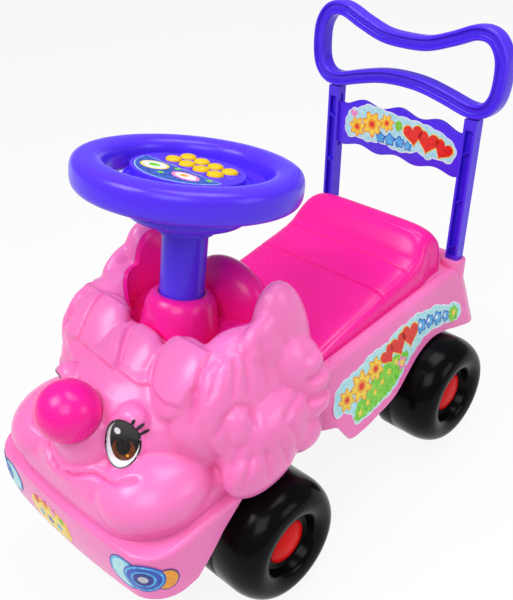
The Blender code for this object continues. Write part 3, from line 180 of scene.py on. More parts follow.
def moulded(name, colour, fold_shade_colour, rough=0.27, soft=0.12, ripple=0.22, shine=0.5):
    """Glossy moulded plastic: slow tone changes, painted shade in the folds (a deeper tone where the surface is
    hollow), ripple, fine pitting and dull scuffs.
    """
    n = Nodes(name)
    tone = n.ramp(n.noise(9.0, 2.0), [(0.3, shade(colour, 0.94)), (0.7, shade(colour, 1.03))])
    hollow = n.add("ShaderNodeNewGeometry").outputs["Pointiness"]
    # Painted shade: hollow places (low pointiness) are mixed towards the fold shade colour, up to 75 %.
    fold_shade_mask = n.ramp(hollow, [(0.42, 1.0), (0.5, 0.0)])
    tone = n.mix(n.span(fold_shade_mask, 0.0, 1.0, 0.0, 0.75), tone, fold_shade_colour)
    n.link(tone, n.shader.inputs["Base Color"])
    scuff = n.ramp(n.noise(55.0, 6.0, 0.62, (1.0, 3.0, 1.0)), [(0.6, 0.0), (0.72, 1.0)])
    fine = n.noise(420.0, 2.0)
    pits = n.span(fine, 0.3, 0.7, rough - 0.03, rough + 0.05)
    rough_map = n.mix(0.35, pits, n.span(scuff, 0.0, 1.0, rough, rough + 0.08))
    n.link(rough_map, n.shader.inputs["Roughness"])
    n.bump([(n.noise(26.0, 2.0), ripple, 0.0006), (fine, 0.06, 0.00004)])
    n.set(Subsurface_Weight=soft, Subsurface_Radius=(0.02, 0.008, 0.01), Subsurface_Scale=0.25, IOR=1.49,
          Specular_IOR_Level=shine)
    return n.material


def grained(name, colour, rough, scale, depth, metal=0.0, stretch=None):
    """Satin or metal finish with an even grain, and darker specks."""
    n = Nodes(name)
    grain = n.noise(scale, 4.0, 0.6, stretch)
    speck = n.ramp(n.noise(scale * 0.25, 5.0, 0.7), [(0.38, shade(colour, 0.72)), (0.62, shade(colour, 1.08))])
    n.link(speck, n.shader.inputs["Base Color"])
    n.link(n.span(grain, 0.25, 0.75, rough - 0.08, rough + 0.1), n.shader.inputs["Roughness"])
    n.bump([(grain, 0.35, depth)])
    n.set(Metallic=metal)
    return n.material


def printed(name, colour, other):
    """Ink on glossy film: a fine dot screen, uneven ink and a faint waviness of the film."""
    n = Nodes(name)
    dots = n.add("ShaderNodeTexVoronoi")
    dots.inputs["Scale"].default_value = 1400.0
    n.link(n.place, dots.inputs["Vector"])
    ink = n.ramp(n.noise(240.0), [(0.35, colour), (0.68, other)])
    screen = n.ramp(dots.outputs["Distance"], [(0.25, 1.0), (0.6, 0.88)])
    n.link(n.mix(0.5, ink, screen, "MULTIPLY"), n.shader.inputs["Base Color"])
    n.link(n.span(n.noise(90.0), 0.3, 0.7, 0.19, 0.32), n.shader.inputs["Roughness"])
    n.bump([(n.noise(60.0, 2.0), 0.15, 0.0002)])
    return n.material


def board_material():
    n = Nodes("board_mask")
    tracks = n.add("ShaderNodeTexBrick")
    tracks.inputs["Scale"].default_value = 160.0
    tracks.inputs["Mortar Size"].default_value = 0.03
    n.link(n.place, tracks.inputs["Vector"])
    n.link(n.mix(tracks.outputs["Fac"], (0.02, 0.16, 0.06), (0.16, 0.42, 0.14)), n.shader.inputs["Base Color"])
    n.link(n.span(n.noise(200.0), 0.3, 0.7, 0.35, 0.5), n.shader.inputs["Roughness"])
    n.bump([(tracks.outputs["Fac"], 0.3, 0.0001)])
    return n.material


# The second colour of each moulded material is the painted shade mixed into its folds.
PINK = moulded("shell_light_pink", (0.95, 0.215, 0.54), (0.93, 0.03, 0.28), rough=0.24, soft=0.16, shine=0.42)
HOT = moulded("shell_hot_pink", (0.98, 0.013, 0.33), (0.95, 0.003, 0.1), rough=0.25, soft=0.08, shine=0.32)
VIOLET = moulded("shell_violet", (0.088, 0.03, 0.84), (0.022, 0.003, 0.6), rough=0.25, soft=0.03, shine=0.3)
BLACK = moulded("wheel_black", (0.0025, 0.0032, 0.0034), (0.001, 0.001, 0.002), rough=0.19, soft=0.0, ripple=0.2, shine=0.09)
RED = moulded("cap_red", (0.72, 0.003, 0.003), (0.4, 0.001, 0.001), rough=0.28, soft=0.02, shine=0.08)
YELLOW = moulded("key_yellow", (0.8, 0.5, 0.008), (0.62, 0.24, 0.003), rough=0.28, soft=0.05, shine=0.25)
STEEL = grained("zinc_steel", (0.55, 0.56, 0.58), 0.32, 700.0, 0.00005, 1.0, (1.0, 0.08, 1.0))
YOKE = grained("yoke_black", (0.02, 0.02, 0.022), 0.48, 500.0, 0.0001)
NYLON = grained("bearing_nylon", (0.85, 0.85, 0.82), 0.42, 380.0, 0.00006)
RUBBER = grained("mat_rubber", (0.28, 0.29, 0.31), 0.72, 600.0, 0.0001)
PAPER = grained("speaker_paper", (0.045, 0.045, 0.05), 0.8, 300.0, 0.0002)
BOARD = board_material()


# Shapes

SIDES = ((1, "left"), (-1, "right"))


def mm(rows):
    """Numbers or nested rows of them in millimetres, as metres."""
    return tuple(mm(row) for row in rows) if isinstance(rows, (tuple, list)) else rows / 1000.0


def mirror(spot, side):
    return Vector((spot[0] * side, spot[1], spot[2]))


def blunt(value, power):
    """A sine or cosine drawn towards its ends, for squarer ovals and balls."""
    return math.copysign(abs(value) ** power, value)


def axes(across, up, out, origin):
    return Matrix.Translation(origin) @ Matrix((across, up, out)).transposed().to_4x4()


def obj_from(name, mesh, material=None):
    obj = bpy.data.objects.new(name, mesh)
    bpy.context.scene.collection.objects.link(obj)
    if material:
        mesh.materials.clear()
        mesh.materials.append(material)
    return obj


def mesh_from(bm, name):
    mesh = bpy.data.meshes.new(name)
    bm.to_mesh(mesh)
    bm.free()
    return mesh


def smooth(mesh, angle=32.0):
    mesh.shade_smooth()
    mesh.set_sharp_from_angle(angle=math.radians(angle))


def evaluated(obj):
    bpy.context.view_layer.update()
    return bpy.data.meshes.new_from_object(obj.evaluated_get(bpy.context.evaluated_depsgraph_get()))


def baked(obj, name, material=None):
    """The evaluated shape of obj in world space as a plain mesh object; obj is removed."""
    mesh = evaluated(obj)
    mesh.transform(obj.matrix_world)
    bm = bmesh.new()
    bm.from_mesh(mesh)
    bmesh.ops.remove_doubles(bm, verts=bm.verts, dist=0.000005)
    bmesh.ops.recalc_face_normals(bm, faces=bm.faces)
    bm.to_mesh(mesh)
    bm.free()
    bpy.data.objects.remove(obj, do_unlink=True)
    return obj_from(name, mesh, material)


def combine(target, other, operation):
    """Boolean of two mesh objects; other is used up."""
    change = target.modifiers.new("cut", "BOOLEAN")
    change.operation = operation
    change.object = other
    mesh = evaluated(target)
    target.modifiers.remove(change)
    target.data = mesh
    bpy.data.objects.remove(other, do_unlink=True)
    return target


def cut(target, other):
    return combine(target, other, "DIFFERENCE")


def join(target, other):
    return combine(target, other, "UNION")


def twin(obj):
    return obj_from("twin", obj.data.copy())


def place(obj, matrix):
    obj.data.transform(matrix)
    return obj


def ring_loft(name, rings):
    bm = bmesh.new()
    loops = [[bm.verts.new(point) for point in ring] for ring in rings]
    count = len(loops[0])
    for low, high in zip(loops, loops[1:]):
        for k in range(count):
            nxt = (k + 1) % count
            bm.faces.new((low[k], low[nxt], high[nxt], high[k]))
    bm.faces.new(list(reversed(loops[0])))
    bm.faces.new(loops[-1])
    bmesh.ops.recalc_face_normals(bm, faces=bm.faces)
    return obj_from(name, mesh_from(bm, name))


def turned(name, profile, closed=False, steps=96):
    """A profile of (radius, height) turned about Z."""
    mesh = bpy.data.meshes.new(name)
    edges = [(k, k + 1) for k in range(len(profile) - 1)]
    if closed:
        edges.append((len(profile) - 1, 0))
    mesh.from_pydata([(radius, 0.0, height) for radius, height in profile], edges, [])
    obj = obj_from(name, mesh)
    screw = obj.modifiers.new("turn", "SCREW")
    screw.steps = screw.render_steps = steps
    screw.use_merge_vertices = True
    screw.merge_threshold = 0.00001
    made = baked(obj, name)
    smooth(made.data)
    return made


def poly_curve(name, outline, fill="NONE"):
    curve = bpy.data.curves.new(name, "CURVE")
    curve.dimensions = "2D"
    curve.fill_mode = fill
    spline = curve.splines.new("POLY")
    spline.points.add(len(outline) - 1)
    for point, (x, y) in zip(spline.points, outline):
        point.co = (x, y, 0.0, 1.0)
    spline.use_cyclic_u = True
    return curve


def outline_solid(name, outline, thickness, bevel=0.0):
    curve = poly_curve(name, outline, "BOTH")
    curve.extrude = thickness / 2 - bevel
    curve.bevel_depth = bevel
    curve.bevel_resolution = 2
    curve.offset = -bevel
    made = baked(obj_from(name, curve), name)
    smooth(made.data)
    return made


def cylinder(radius, length, steps=48):
    bm = bmesh.new()
    bmesh.ops.create_cone(bm, cap_ends=True, segments=steps, radius1=radius, radius2=radius, depth=length)
    return obj_from("cylinder", mesh_from(bm, "cylinder"))


def block(low, high):
    bm = bmesh.new()
    bmesh.ops.create_cube(bm, size=1.0)
    bmesh.ops.scale(bm, vec=[b - a for a, b in zip(low, high)], verts=bm.verts)
    bmesh.ops.translate(bm, vec=[(a + b) / 2 for a, b in zip(low, high)], verts=bm.verts)
    return obj_from("block", mesh_from(bm, "block"))


def bevelled(obj, width, segments=3, angle=30.0):
    edge = obj.modifiers.new("edge", "BEVEL")
    edge.width = width
    edge.segments = segments
    edge.limit_method = "ANGLE"
    edge.angle_limit = math.radians(angle)
    edge.use_clamp_overlap = True
    made = baked(obj, obj.name)
    smooth(made.data)
    return made


def rounded_rectangle(half_x, y_front, y_rear, radius, z, bow=0.0, steps=12):
    points = []
    corners = ((half_x - radius, y_rear - radius, 0.0), (radius - half_x, y_rear - radius, 90.0),
               (radius - half_x, y_front + radius, 180.0), (half_x - radius, y_front + radius, 270.0))
    for cx, cy, start in corners:
        for k in range(steps + 1):
            angle = math.radians(start + 90.0 * k / steps)
            points.append((cx + radius * math.cos(angle), cy + radius * math.sin(angle)))
        if start == 180.0:
            inner = half_x - radius
            points.extend((inner * (k / 6 - 1), y_front) for k in range(1, 12))
    middle = (y_front + y_rear) / 2
    return [(x, y + (bow * (x / half_x) ** 2 if y < middle else 0.0), z) for x, y in points]


def arc(centre_x, centre_y, radius_x, radius_y, start, end, steps):
    angles = [math.radians(start + (end - start) * k / steps) for k in range(steps + 1)]
    return [(centre_x + radius_x * math.cos(a), centre_y + radius_y * math.sin(a)) for a in angles]


def smooth_value(knots, at):
    """Height of a smooth curve through knots (position, height)."""
    last = len(knots) - 1
    if at <= knots[0][0]:
        return knots[0][1]
    for k in range(last):
        (x1, y1), (x2, y2) = knots[k], knots[k + 1]
        if at <= x2:
            x0, y0 = knots[max(k - 1, 0)]
            x3, y3 = knots[min(k + 2, last)]
            slope1, slope2 = (y2 - y0) / (x2 - x0), (y3 - y1) / (x3 - x1)
            t, span = (at - x1) / (x2 - x1), x2 - x1
            return ((2 * t**3 - 3 * t**2 + 1) * y1 + (t**3 - 2 * t**2 + t) * span * slope1
                    + (3 * t**2 - 2 * t**3) * y2 + (t**3 - t**2) * span * slope2)
    return knots[last][1]


def steer_matrix(along=0.0):
    axis = Vector((0.0, math.sin(STEER_LEAN), math.cos(STEER_LEAN)))
    return Matrix.Translation(STEER - axis * along) @ Matrix.Rotation(-STEER_LEAN, 4, "X")


def handle_matrix():
    return Matrix.Translation(HANDLE) @ Matrix.Rotation(-HANDLE_LEAN, 4, "X") @ Matrix.Rotation(math.pi / 2, 4, "X")


def side_matrix(side, x, y, z):
    return Matrix.Translation((side * x, y, z)) @ Matrix.Rotation(side * math.pi / 2, 4, "Y")


YZ_TO_XY = Matrix(((0, 0, 1, 0), (1, 0, 0, 0), (0, 1, 0, 0), (0, 0, 0, 1)))


def dress(obj, name, material, body, node=None):
    """Name a finished piece, give it its material and hang it on its body."""
    obj.name = name
    obj.data.name = name
    if material:
        obj.data.materials.clear()
        obj.data.materials.append(material)
    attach(obj, body)
    if node:
        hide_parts(node)
    return obj


# Body

def body_levels(inset, bottom):
    rings = []
    knee = DECK_Z - inset - BODY_EDGE
    for z in (bottom, knee):
        share = (z - BODY_BOTTOM_Z) / (DECK_Z - BODY_EDGE - BODY_BOTTOM_Z)
        half = BODY_HALF + (BODY_TOP_HALF - BODY_HALF) * share - inset
        rings.append((half, BODY_REAR_Y - 0.35 * (BODY_HALF - BODY_TOP_HALF) * share - inset, z))
    half, rear, _ = rings[-1]
    for k in range(1, 9):
        angle = math.radians(90.0 * k / 8)
        draw = BODY_EDGE * (1.0 - math.cos(angle))
        rings.append((half - draw, rear - draw, knee + BODY_EDGE * math.sin(angle)))
    return [rounded_rectangle(half, BODY_FRONT_Y + inset, rear, BODY_CORNER - inset, z) for half, rear, z in rings]


def bumper_levels(inset, bottom):
    knee = BUMPER_TOP_Z - inset - BUMPER_EDGE
    rings = [(bottom, 0.0015), (BUMPER_BOTTOM_Z + 0.012, 0.0003), ((BUMPER_BOTTOM_Z + knee) / 2, 0.0), (knee, 0.0015)]
    for k in range(1, 8):
        angle = math.radians(90.0 * k / 7)
        rings.append((knee + BUMPER_EDGE * math.sin(angle), 0.0015 + BUMPER_EDGE * (1 - math.cos(angle))))
    return [rounded_rectangle(BUMPER_HALF - draw - inset, BUMPER_FRONT_Y + draw + inset, BODY_FRONT_Y + WALL - inset,
                              BUMPER_CORNER - draw - inset, z, BUMPER_BOW) for z, draw in rings]


SKIRT = mm(((-60, 125), (-22, 124.8), (-14, 118), (-8, 102.5), (17, 98.3), (37.5, 99.8),
         (74.9, 105), (105.9, 119.5), (124.6, 128.5), (155, 134.8), (182.3, 130.2), (205.3, 122.5),
         (241, 112), (280, 101)))


def make_chassis():
    body = join(ring_loft("body", body_levels(0.0, BODY_BOTTOM_Z)), ring_loft("front", bumper_levels(0.0, BUMPER_BOTTOM_Z)))
    cut(body, ring_loft("hollow", body_levels(WALL, BODY_BOTTOM_Z - 0.02)))
    cut(body, ring_loft("hollow", bumper_levels(WALL, BUMPER_BOTTOM_Z - 0.02)))
    first, last = SKIRT[0][0], SKIRT[-1][0]
    edge = [(y, smooth_value(SKIRT, y)) for y in (first + (last - first) * k / 70 for k in range(71))]
    outline = [(last, 0.0)] + edge[::-1] + [(first, 0.0)]
    cut(body, place(outline_solid("skirt", outline, 0.4), YZ_TO_XY))
    roof = BUMPER_TOP_Z - WALL - GAP
    rear, axle, low = BODY_FRONT_Y - GAP, AXLE_Y["front"], BUMPER_BOTTOM_Z
    well = [(rear, 0.0), (rear, roof), (axle - 0.031, roof), (axle - 0.06, low + 0.032), (axle - 0.095, low),
            (axle - 0.103, low - 0.012), (axle - 0.103, 0.0)]
    for side in (1, -1):
        cutter = place(outline_solid("well", well, 0.08), YZ_TO_XY)
        cut(body, place(cutter, Matrix.Translation((side * (SPINE_HALF + GAP + 0.04), 0.0, 0.0))))
    spine_top = BUMPER_TOP_Z - WALL / 2
    spine_front = BUMPER_FRONT_Y + 0.038
    for side in (1, -1):
        ends = sorted((side * SPINE_HALF, side * (SPINE_HALF - WALL)))
        join(body, block((ends[0], spine_front, SPINE_BOTTOM_Z), (ends[1], 0.0, spine_top)))
    for y in (spine_front, -0.004):
        join(body, block((-SPINE_HALF, y, SPINE_BOTTOM_Z), (SPINE_HALF, y + WALL, spine_top)))
    top_at = (STEER.z - BUMPER_TOP_Z) / math.cos(STEER_LEAN)
    join(body, place(cylinder(0.0165, 0.03), steer_matrix(top_at + 0.011)))
    cut(body, block((-0.03, -0.2, BUMPER_TOP_Z), (0.03, -0.06, BUMPER_TOP_Z + 0.03)))
    cut(body, place(cylinder(0.0095, 0.08), steer_matrix(top_at)))
    for side in (1, -1):
        ends = sorted((side * 0.058, side * 0.064))
        y = AXLE_Y["rear"]
        join(body, block((ends[0], y - 0.017, WHEEL_RADIUS - 0.014), (ends[1], y + 0.017, DECK_Z - WALL / 2)))
        cut(body, place(cylinder(0.0088, 0.04), side_matrix(side, 0.058, y, WHEEL_RADIUS)))
    for y in (0.06, AXLE_Y["rear"] - 0.0015):
        join(body, block((-0.1, y, DECK_Z - 0.022), (0.1, y + 0.003, DECK_Z - WALL / 2)))
    for side in (1, -1):
        stand = handle_matrix() @ Matrix.Translation((side * POST_X, -0.027, 0.0))
        collar = bevelled(cylinder(0.0145, 0.052), 0.0015, 3, 60.0)
        join(body, place(collar, stand @ Matrix.Rotation(math.pi / 2, 4, "X")))
        socket = block((side * POST_X - 0.00805, -0.0343, -0.00705), (side * POST_X + 0.00805, 0.05, 0.00705))
        cut(body, place(socket, handle_matrix()))
        bead = place(cylinder(0.0016, 0.206, 16), Matrix.Rotation(math.pi / 2, 4, "X"))
        join(body, place(bead, Matrix.Translation((side * 0.1005, 0.099, DECK_Z - 0.0004))))
    smooth(body.data, 28.0)
    return dress(body, "moulded_body", PINK, "body", "chassis")


# Head

def lump_mesh(lumps, lower_face=None, segments=40):
    """Overlapping ellipsoids: centre, radii, turns about X, Z and Y, mirror flag, and bluntness of the ends."""
    bm = bmesh.new()
    if lower_face:
        bm.from_mesh(lower_face.data)
        bpy.data.objects.remove(lower_face, do_unlink=True)
    for centre, radii, turns, mirrored, power in lumps:
        for side in ((1, -1) if mirrored else (1,)):
            spot = Matrix.Translation(mirror(centre, side))
            pitch = Matrix.Rotation(math.radians(turns[0]), 4, "X")
            yaw = Matrix.Rotation(math.radians(turns[1]) * side, 4, "Z")
            roll = Matrix.Rotation(math.radians(turns[2]) * side, 4, "Y")
            made = bmesh.ops.create_uvsphere(bm, u_segments=segments, v_segments=segments // 2, radius=1.0)
            for vert in made["verts"]:
                form = Vector([blunt(c, power) for c in vert.co])
                length = sum(abs(c) ** (2.0 / power) for c in form) ** (power / 2.0)
                vert.co = form / max(length, 1e-6)
                vert.co = (spot @ yaw @ roll @ pitch @ Matrix.Diagonal((*radii, 1.0))) @ vert.co
    return mesh_from(bm, "lumps")


def head_lumps():
    flat = (0, 0, 0)
    lumps = [
        ((0, -135, 190), (104, 104, 70), flat, False, 1),
        ((0, -68, 196), (105, 66, 54), flat, False, 1),
        ((68, -208, 168), (50, 58, 35), flat, True, 1),
        ((0, -211, 166), (88, 55, 34.5), flat, False, 0.9),
        ((0, -220, 199), (38, 36, 34), flat, False, 1),
        ((80, -150, 206), (35, 41, 48), flat, True, 1),
        ((47.5, -205.5, 231.5), (15, 13, 11.5), (35, 12, 0), True, 1),
        ((83, -108, 226), (34, 62, 58), flat, True, 1),
        ((93.5, -63, 243), (22.5, 34, 73), flat, True, 1),
        ((99, -80, 238), (17.5, 50, 59), flat, True, 1),
        # Mass under the forelocks and under the strands at the side
        ((0, -165.5, 248), (34, 34, 11.5), (35, 0, 0), False, 0.8),
        ((58, -158, 250.5), (34, 38, 13), (40, -8, 0), True, 0.8),
        ((104.5, -118, 223.5), (19, 56, 54), (-4, 0, -14), True, 0.8),
        # Lock over the cheek and the ear under the curls
        ((114, -110, 188), (32, 60, 44), flat, True, 1),
        ((110, -64, 232), (22, 30, 40), (20, 0, -14), True, 1),
        ((115.5, -146.5, 219), (14.5, 14, 22.5), (-8, 0, -18), True, 0.85),
        # Curls of the mane: the large one low in front, then the smaller ones up the rear
        ((126, -132, 172), (20.5, 44, 30), flat, True, 0.9),
        ((126.5, -80, 172), (19, 24, 22), flat, True, 0.9),
        ((124, -92, 199), (18.5, 20, 19), flat, True, 0.9),
        ((124.5, -61, 196.5), (19, 20, 14.5), (0, 0, 0), True, 0.85),
        ((121, -56, 216.5), (18.5, 20, 13), (0, 0, 0), True, 0.85),
        ((116.5, -58, 236), (17.5, 19, 13), (0, 0, 0), True, 0.85),
    ]
    return [(mm(centre), mm(radii), *rest) for centre, radii, *rest in lumps]


def jaw():
    levels = ((0.11, 0.113, -0.2665), (0.158, 0.114, -0.267), (0.171, 0.111, -0.264), (0.179, 0.102, -0.254),
              (0.185, 0.08, -0.23))
    return [rounded_rectangle(half, front, -0.03, 0.05, z, BUMPER_BOW) for z, half, front in levels]


def numbers(mesh, what="co"):
    """Places or normals of a mesh's points, one row each."""
    values = np.empty(len(mesh.vertices) * 3, dtype=np.float32)
    mesh.vertices.foreach_get(what, values)
    return values.reshape(-1, 3).astype(float)


def put_back(mesh, places):
    mesh.vertices.foreach_set("co", places.astype(np.float32).ravel())
    mesh.update()


def refine(mesh, boxes):
    """Halve the faces inside mirrored boxes, so that creases there come out crisp."""
    bm = bmesh.new()
    bm.from_mesh(mesh)
    edges = set()
    for face in bm.faces:
        x, y, z = face.calc_center_median()
        if any(low[0] < abs(x) < high[0] and low[1] < y < high[1] and low[2] < z < high[2] for low, high in boxes):
            edges.update(face.edges)
    made = bmesh.ops.subdivide_edges(bm, edges=list(edges), cuts=1, use_grid_fill=True)
    points = [part for part in made["geom"] if isinstance(part, bmesh.types.BMVert)]
    for _ in range(2):
        bmesh.ops.smooth_vert(bm, verts=points, factor=0.5, use_axis_x=True, use_axis_y=True, use_axis_z=True)
    bm.to_mesh(mesh)
    bm.free()


def press(mesh, creases):
    """Push the surface in (or out, for a negative depth) along mirrored paths, each (path, width, depth)."""
    bm = bmesh.new()
    bm.from_mesh(mesh)
    tree = BVHTree.FromBMesh(bm)
    bm.free()
    co, normals = numbers(mesh), numbers(mesh, "normal")
    shift = np.zeros(len(co))
    for path, width, depth in creases:
        dense = []
        for side in (1, -1):
            points = [mirror(p, side) for p in path]
            for a, b in zip(points, points[1:]):
                count = max(2, int((b - a).length / 0.0012))
                for k in range(count + 1):
                    spot = a.lerp(b, k / count)
                    found = tree.find_nearest(spot, 0.012)[0] or spot
                    ends = min((spot - points[0]).length, (spot - points[-1]).length)
                    dense.append((*found, min(1.0, 0.15 + ends / 0.009)))
        strength = np.array([row[3] for row in dense])
        spots = np.array([row[:3] for row in dense])
        low, high = spots.min(axis=0) - 4 * width, spots.max(axis=0) + 4 * width
        near = np.where(((co > low) & (co < high)).all(axis=1))[0]
        gap = ((co[near][:, None, :] - spots[None, :, :]) ** 2).sum(axis=2)
        shift[near] += depth * strength[gap.argmin(axis=1)] * np.exp(-gap.min(axis=1) / width ** 2)
    put_back(mesh, co - normals * shift[:, None])


# The forehead's own plane: across is X, up is along the slope, out is away from it
FACE = Vector((0.0, -0.165, 0.255))
FACE_UP = Vector((0.0, 0.848, 0.53))
FACE_OUT = Vector((0.0, -0.53, 0.848))


def inside(points, outline):
    """Distance of 2-D points from an outline, positive inside it."""
    outline = np.array(outline)
    after = np.roll(outline, -1, axis=0)
    edge = after - outline
    offset = points[:, None, :] - outline[None, :, :]
    share = np.clip((offset * edge).sum(axis=2) / (edge ** 2).sum(axis=1), 0.0, 1.0)
    gap = np.sqrt(((offset - share[:, :, None] * edge) ** 2).sum(axis=2)).min(axis=1)
    y = points[:, 1][:, None]
    crossed = (outline[:, 1] > y) != (after[:, 1] > y)
    rise = np.where(edge[:, 1] == 0.0, 1e-9, edge[:, 1])
    at = outline[:, 0] + (y - outline[:, 1]) / rise * edge[:, 0]
    odd = (crossed & (points[:, 0][:, None] < at)).sum(axis=1) % 2 == 1
    return np.where(odd, gap, -gap)


def raise_tiles(mesh, tiles):
    """Lift the skin inside outlines on the forehead's plane, each (outline, height, width of the soft side)."""
    co = numbers(mesh)
    offset = co - np.array(FACE)
    flat = np.column_stack((co[:, 0], offset @ np.array(FACE_UP)))
    near = np.where((offset @ np.array(FACE_OUT) > -0.02) & (flat[:, 1] > -0.04))[0]
    lift = np.zeros(len(near))
    for outline, height, soft in tiles:
        share = np.clip(inside(flat[near], outline) / soft + 0.5, 0.0, 1.0)
        lift = np.maximum(lift, height * share * share * (3.0 - 2.0 * share))
    co[near] += np.outer(lift, np.array(FACE_OUT))
    put_back(mesh, co)


def level(mesh, centre, normal, half_x, half_y):
    """Ease the skin inside a mirrored oval onto one gently curved surface, so that an eye lies flat on it."""
    co = numbers(mesh)
    for side in (1, -1):
        out = mirror(normal, side).normalized()
        right = Vector((0.0, 0.0, 1.0)).cross(out).normalized()
        offset = co - np.array(mirror(centre, side))
        x, y, height = offset @ np.array(right), offset @ np.array(out.cross(right)), offset @ np.array(out)
        reach = np.hypot(x / half_x, y / half_y)
        near = np.where((reach < 1.15) & (abs(height) < 0.03))[0]
        x, y, height, reach = x[near], y[near], height[near], reach[near]
        basis = np.column_stack((np.ones(len(near)), x, y, x * x, y * y))
        fitted = basis @ np.linalg.lstsq(basis, height, rcond=None)[0]
        share = np.clip((1.15 - reach) / 0.2, 0.0, 1.0)
        co[near] += np.outer((fitted - height) * share * share * (3.0 - 2.0 * share), np.array(out))
    put_back(mesh, co)


EYE = ((0.047, -0.2188, 0.213), (0.43, -0.81, 0.4))
MOUTH = ((0.0, -0.26, 0.1795), (0.0174, -0.256, 0.1815), (0.027, -0.251, 0.185), (0.0359, -0.246, 0.1872),
         (0.05, -0.2465, 0.19), (0.0638, -0.2455, 0.1922), (0.0815, -0.2302, 0.1972))
FORELOCKS = mm((
    (((-98, 36), (-69, 36), (-66.5, 15), (-62.5, -14.5), (-87, -20), (-98, 0)), 3.5),
    (((-64.5, 36), (-16.5, 36), (-16, 15.5), (3.5, -20), (-58.5, -15)), 4.2),
    (((-12.5, 36), (30, 36), (29.5, 19), (44, -13), (34, -20), (8, -18.5)), 3),
    (((33.5, 36), (33, 19.5), (47, -13), (56, -18), (70, -20.5), (85, -16.5),
      (88, 5), (85, 17), (82, 36)), 4.2)))
CREASES = mm((
    # Grooves between the strands at the side, then the strands' rounded tops
    (((90.5, -156, 260), (92.2, -167.2, 245.2), (94.1, -181.7, 225.6)), 4, 2.1),
    (((95, -136, 280), (97, -142, 270), (99.3, -159.4, 246.7)), 3.8, 1.9),
    (((102, -125, 280), (103.6, -130, 270), (108.4, -141.9, 251.8), (109, -148, 242)), 3.5, 1.6),
    (((104, -115, 280), (107, -119, 269), (112, -125, 255), (116.5, -132, 237.1)), 4, 2),
    (((103, -98, 283), (112.5, -103.8, 259), (120.3, -106, 235)), 4, 1.7),
    (((107, -82, 286), (113.5, -77.7, 270.4), (119.5, -73.7, 260.1)), 4, 1.5),
    (((90, -146, 276), (93, -152, 262)), 6.1, -1.4),
    (((98.5, -131, 278), (102, -139, 264)), 6.1, -1.5),
    (((103, -120, 277), (107, -127, 264)), 5.9, -1.4),
    (((106, -106, 276), (111, -112, 262)), 6.8, -1.5),
    (((108, -90, 274), (112, -92, 264)), 6.8, -1.4),
    # Edge of the lock over the cheek, and the front edge of the large curl
    (((110, -168, 220), (112.7, -157, 236), (115, -144, 241), (119, -132.5, 235),
      (125, -131, 224), (130, -135, 212)), 3.3, 1.9),
    (((125, -148, 213), (128.3, -160.1, 202.8), (129, -173, 191.6), (128, -179, 176)), 3.8, 1.6),
    # Creases that fan over the curls
    (((136, -148, 201), (141, -159, 188), (140, -169, 172)), 3.5, 1.9),
    (((137, -136, 201), (144, -139, 186), (146, -141, 164)), 3.5, 2.1),
    (((137, -122, 200), (144, -119, 186), (146, -115, 164)), 3.5, 1.9),
    (((130, -78, 219), (135.7, -97.9, 217.2), (137.8, -112, 211)), 4, 2.1),
    (((137.8, -108, 208), (142, -101, 186), (143, -98, 165)), 3.8, 2.1),
    (((139, -84, 200), (143, -76, 182)), 3.5, 1.2),
    (((127, -74, 227), (135, -60, 226), (134, -45, 224)), 3.5, 1.7),
    (((131, -78, 207), (139, -65, 206), (138, -47, 205)), 3.5, 1.7)))


def make_skin():
    """The head's outer form in one skin with its tiles and creases, and the same form still plain."""
    raw = obj_from("head", lump_mesh(head_lumps(), ring_loft("jaw", jaw())))
    skin = raw.modifiers.new("skin", "REMESH")
    skin.mode = "VOXEL"
    skin.voxel_size = 0.0021
    soften = raw.modifiers.new("soften", "SMOOTH")
    soften.factor = 0.5
    soften.iterations = 6
    head = baked(raw, "head")
    plain = twin(head)
    refine(head.data, (((-1.0, -0.205, 0.225), (0.1, -0.125, 0.3)), ((0.08, -0.185, 0.14), (0.2, -0.035, 0.3))))
    level(head.data, *EYE, 0.018, 0.023)
    raise_tiles(head.data, [(outline, height, 0.0036) for outline, height in FORELOCKS])
    press(head.data, CREASES + ((MOUTH, 0.0028, 0.003), ([(x, y, z + 0.0052) for x, y, z in MOUTH[:6]], 0.0026, -0.0014),
                                ([(x, y - 0.001, z - 0.0055) for x, y, z in MOUTH[:4]], 0.003, -0.0012)))
    return head, plain


def basin_prism(inset, z_low, z_high):
    half = BASIN_HALF - inset
    middle = BASIN_FRONT_Y + 0.058
    front = arc(0.0, middle, half, middle - BASIN_FRONT_Y - inset, 180.0, 360.0, 72)
    outline = front + [(half, BASIN_REAR_Y), (-half, BASIN_REAR_Y)]
    return place(outline_solid("basin", outline, z_high - z_low), Matrix.Translation((0.0, 0.0, (z_low + z_high) / 2)))


def ball(centre, radii, segments=64):
    return obj_from("ball", lump_mesh([(centre, radii, (0.0, 0.0, 0.0), False, 1.0)], None, segments))


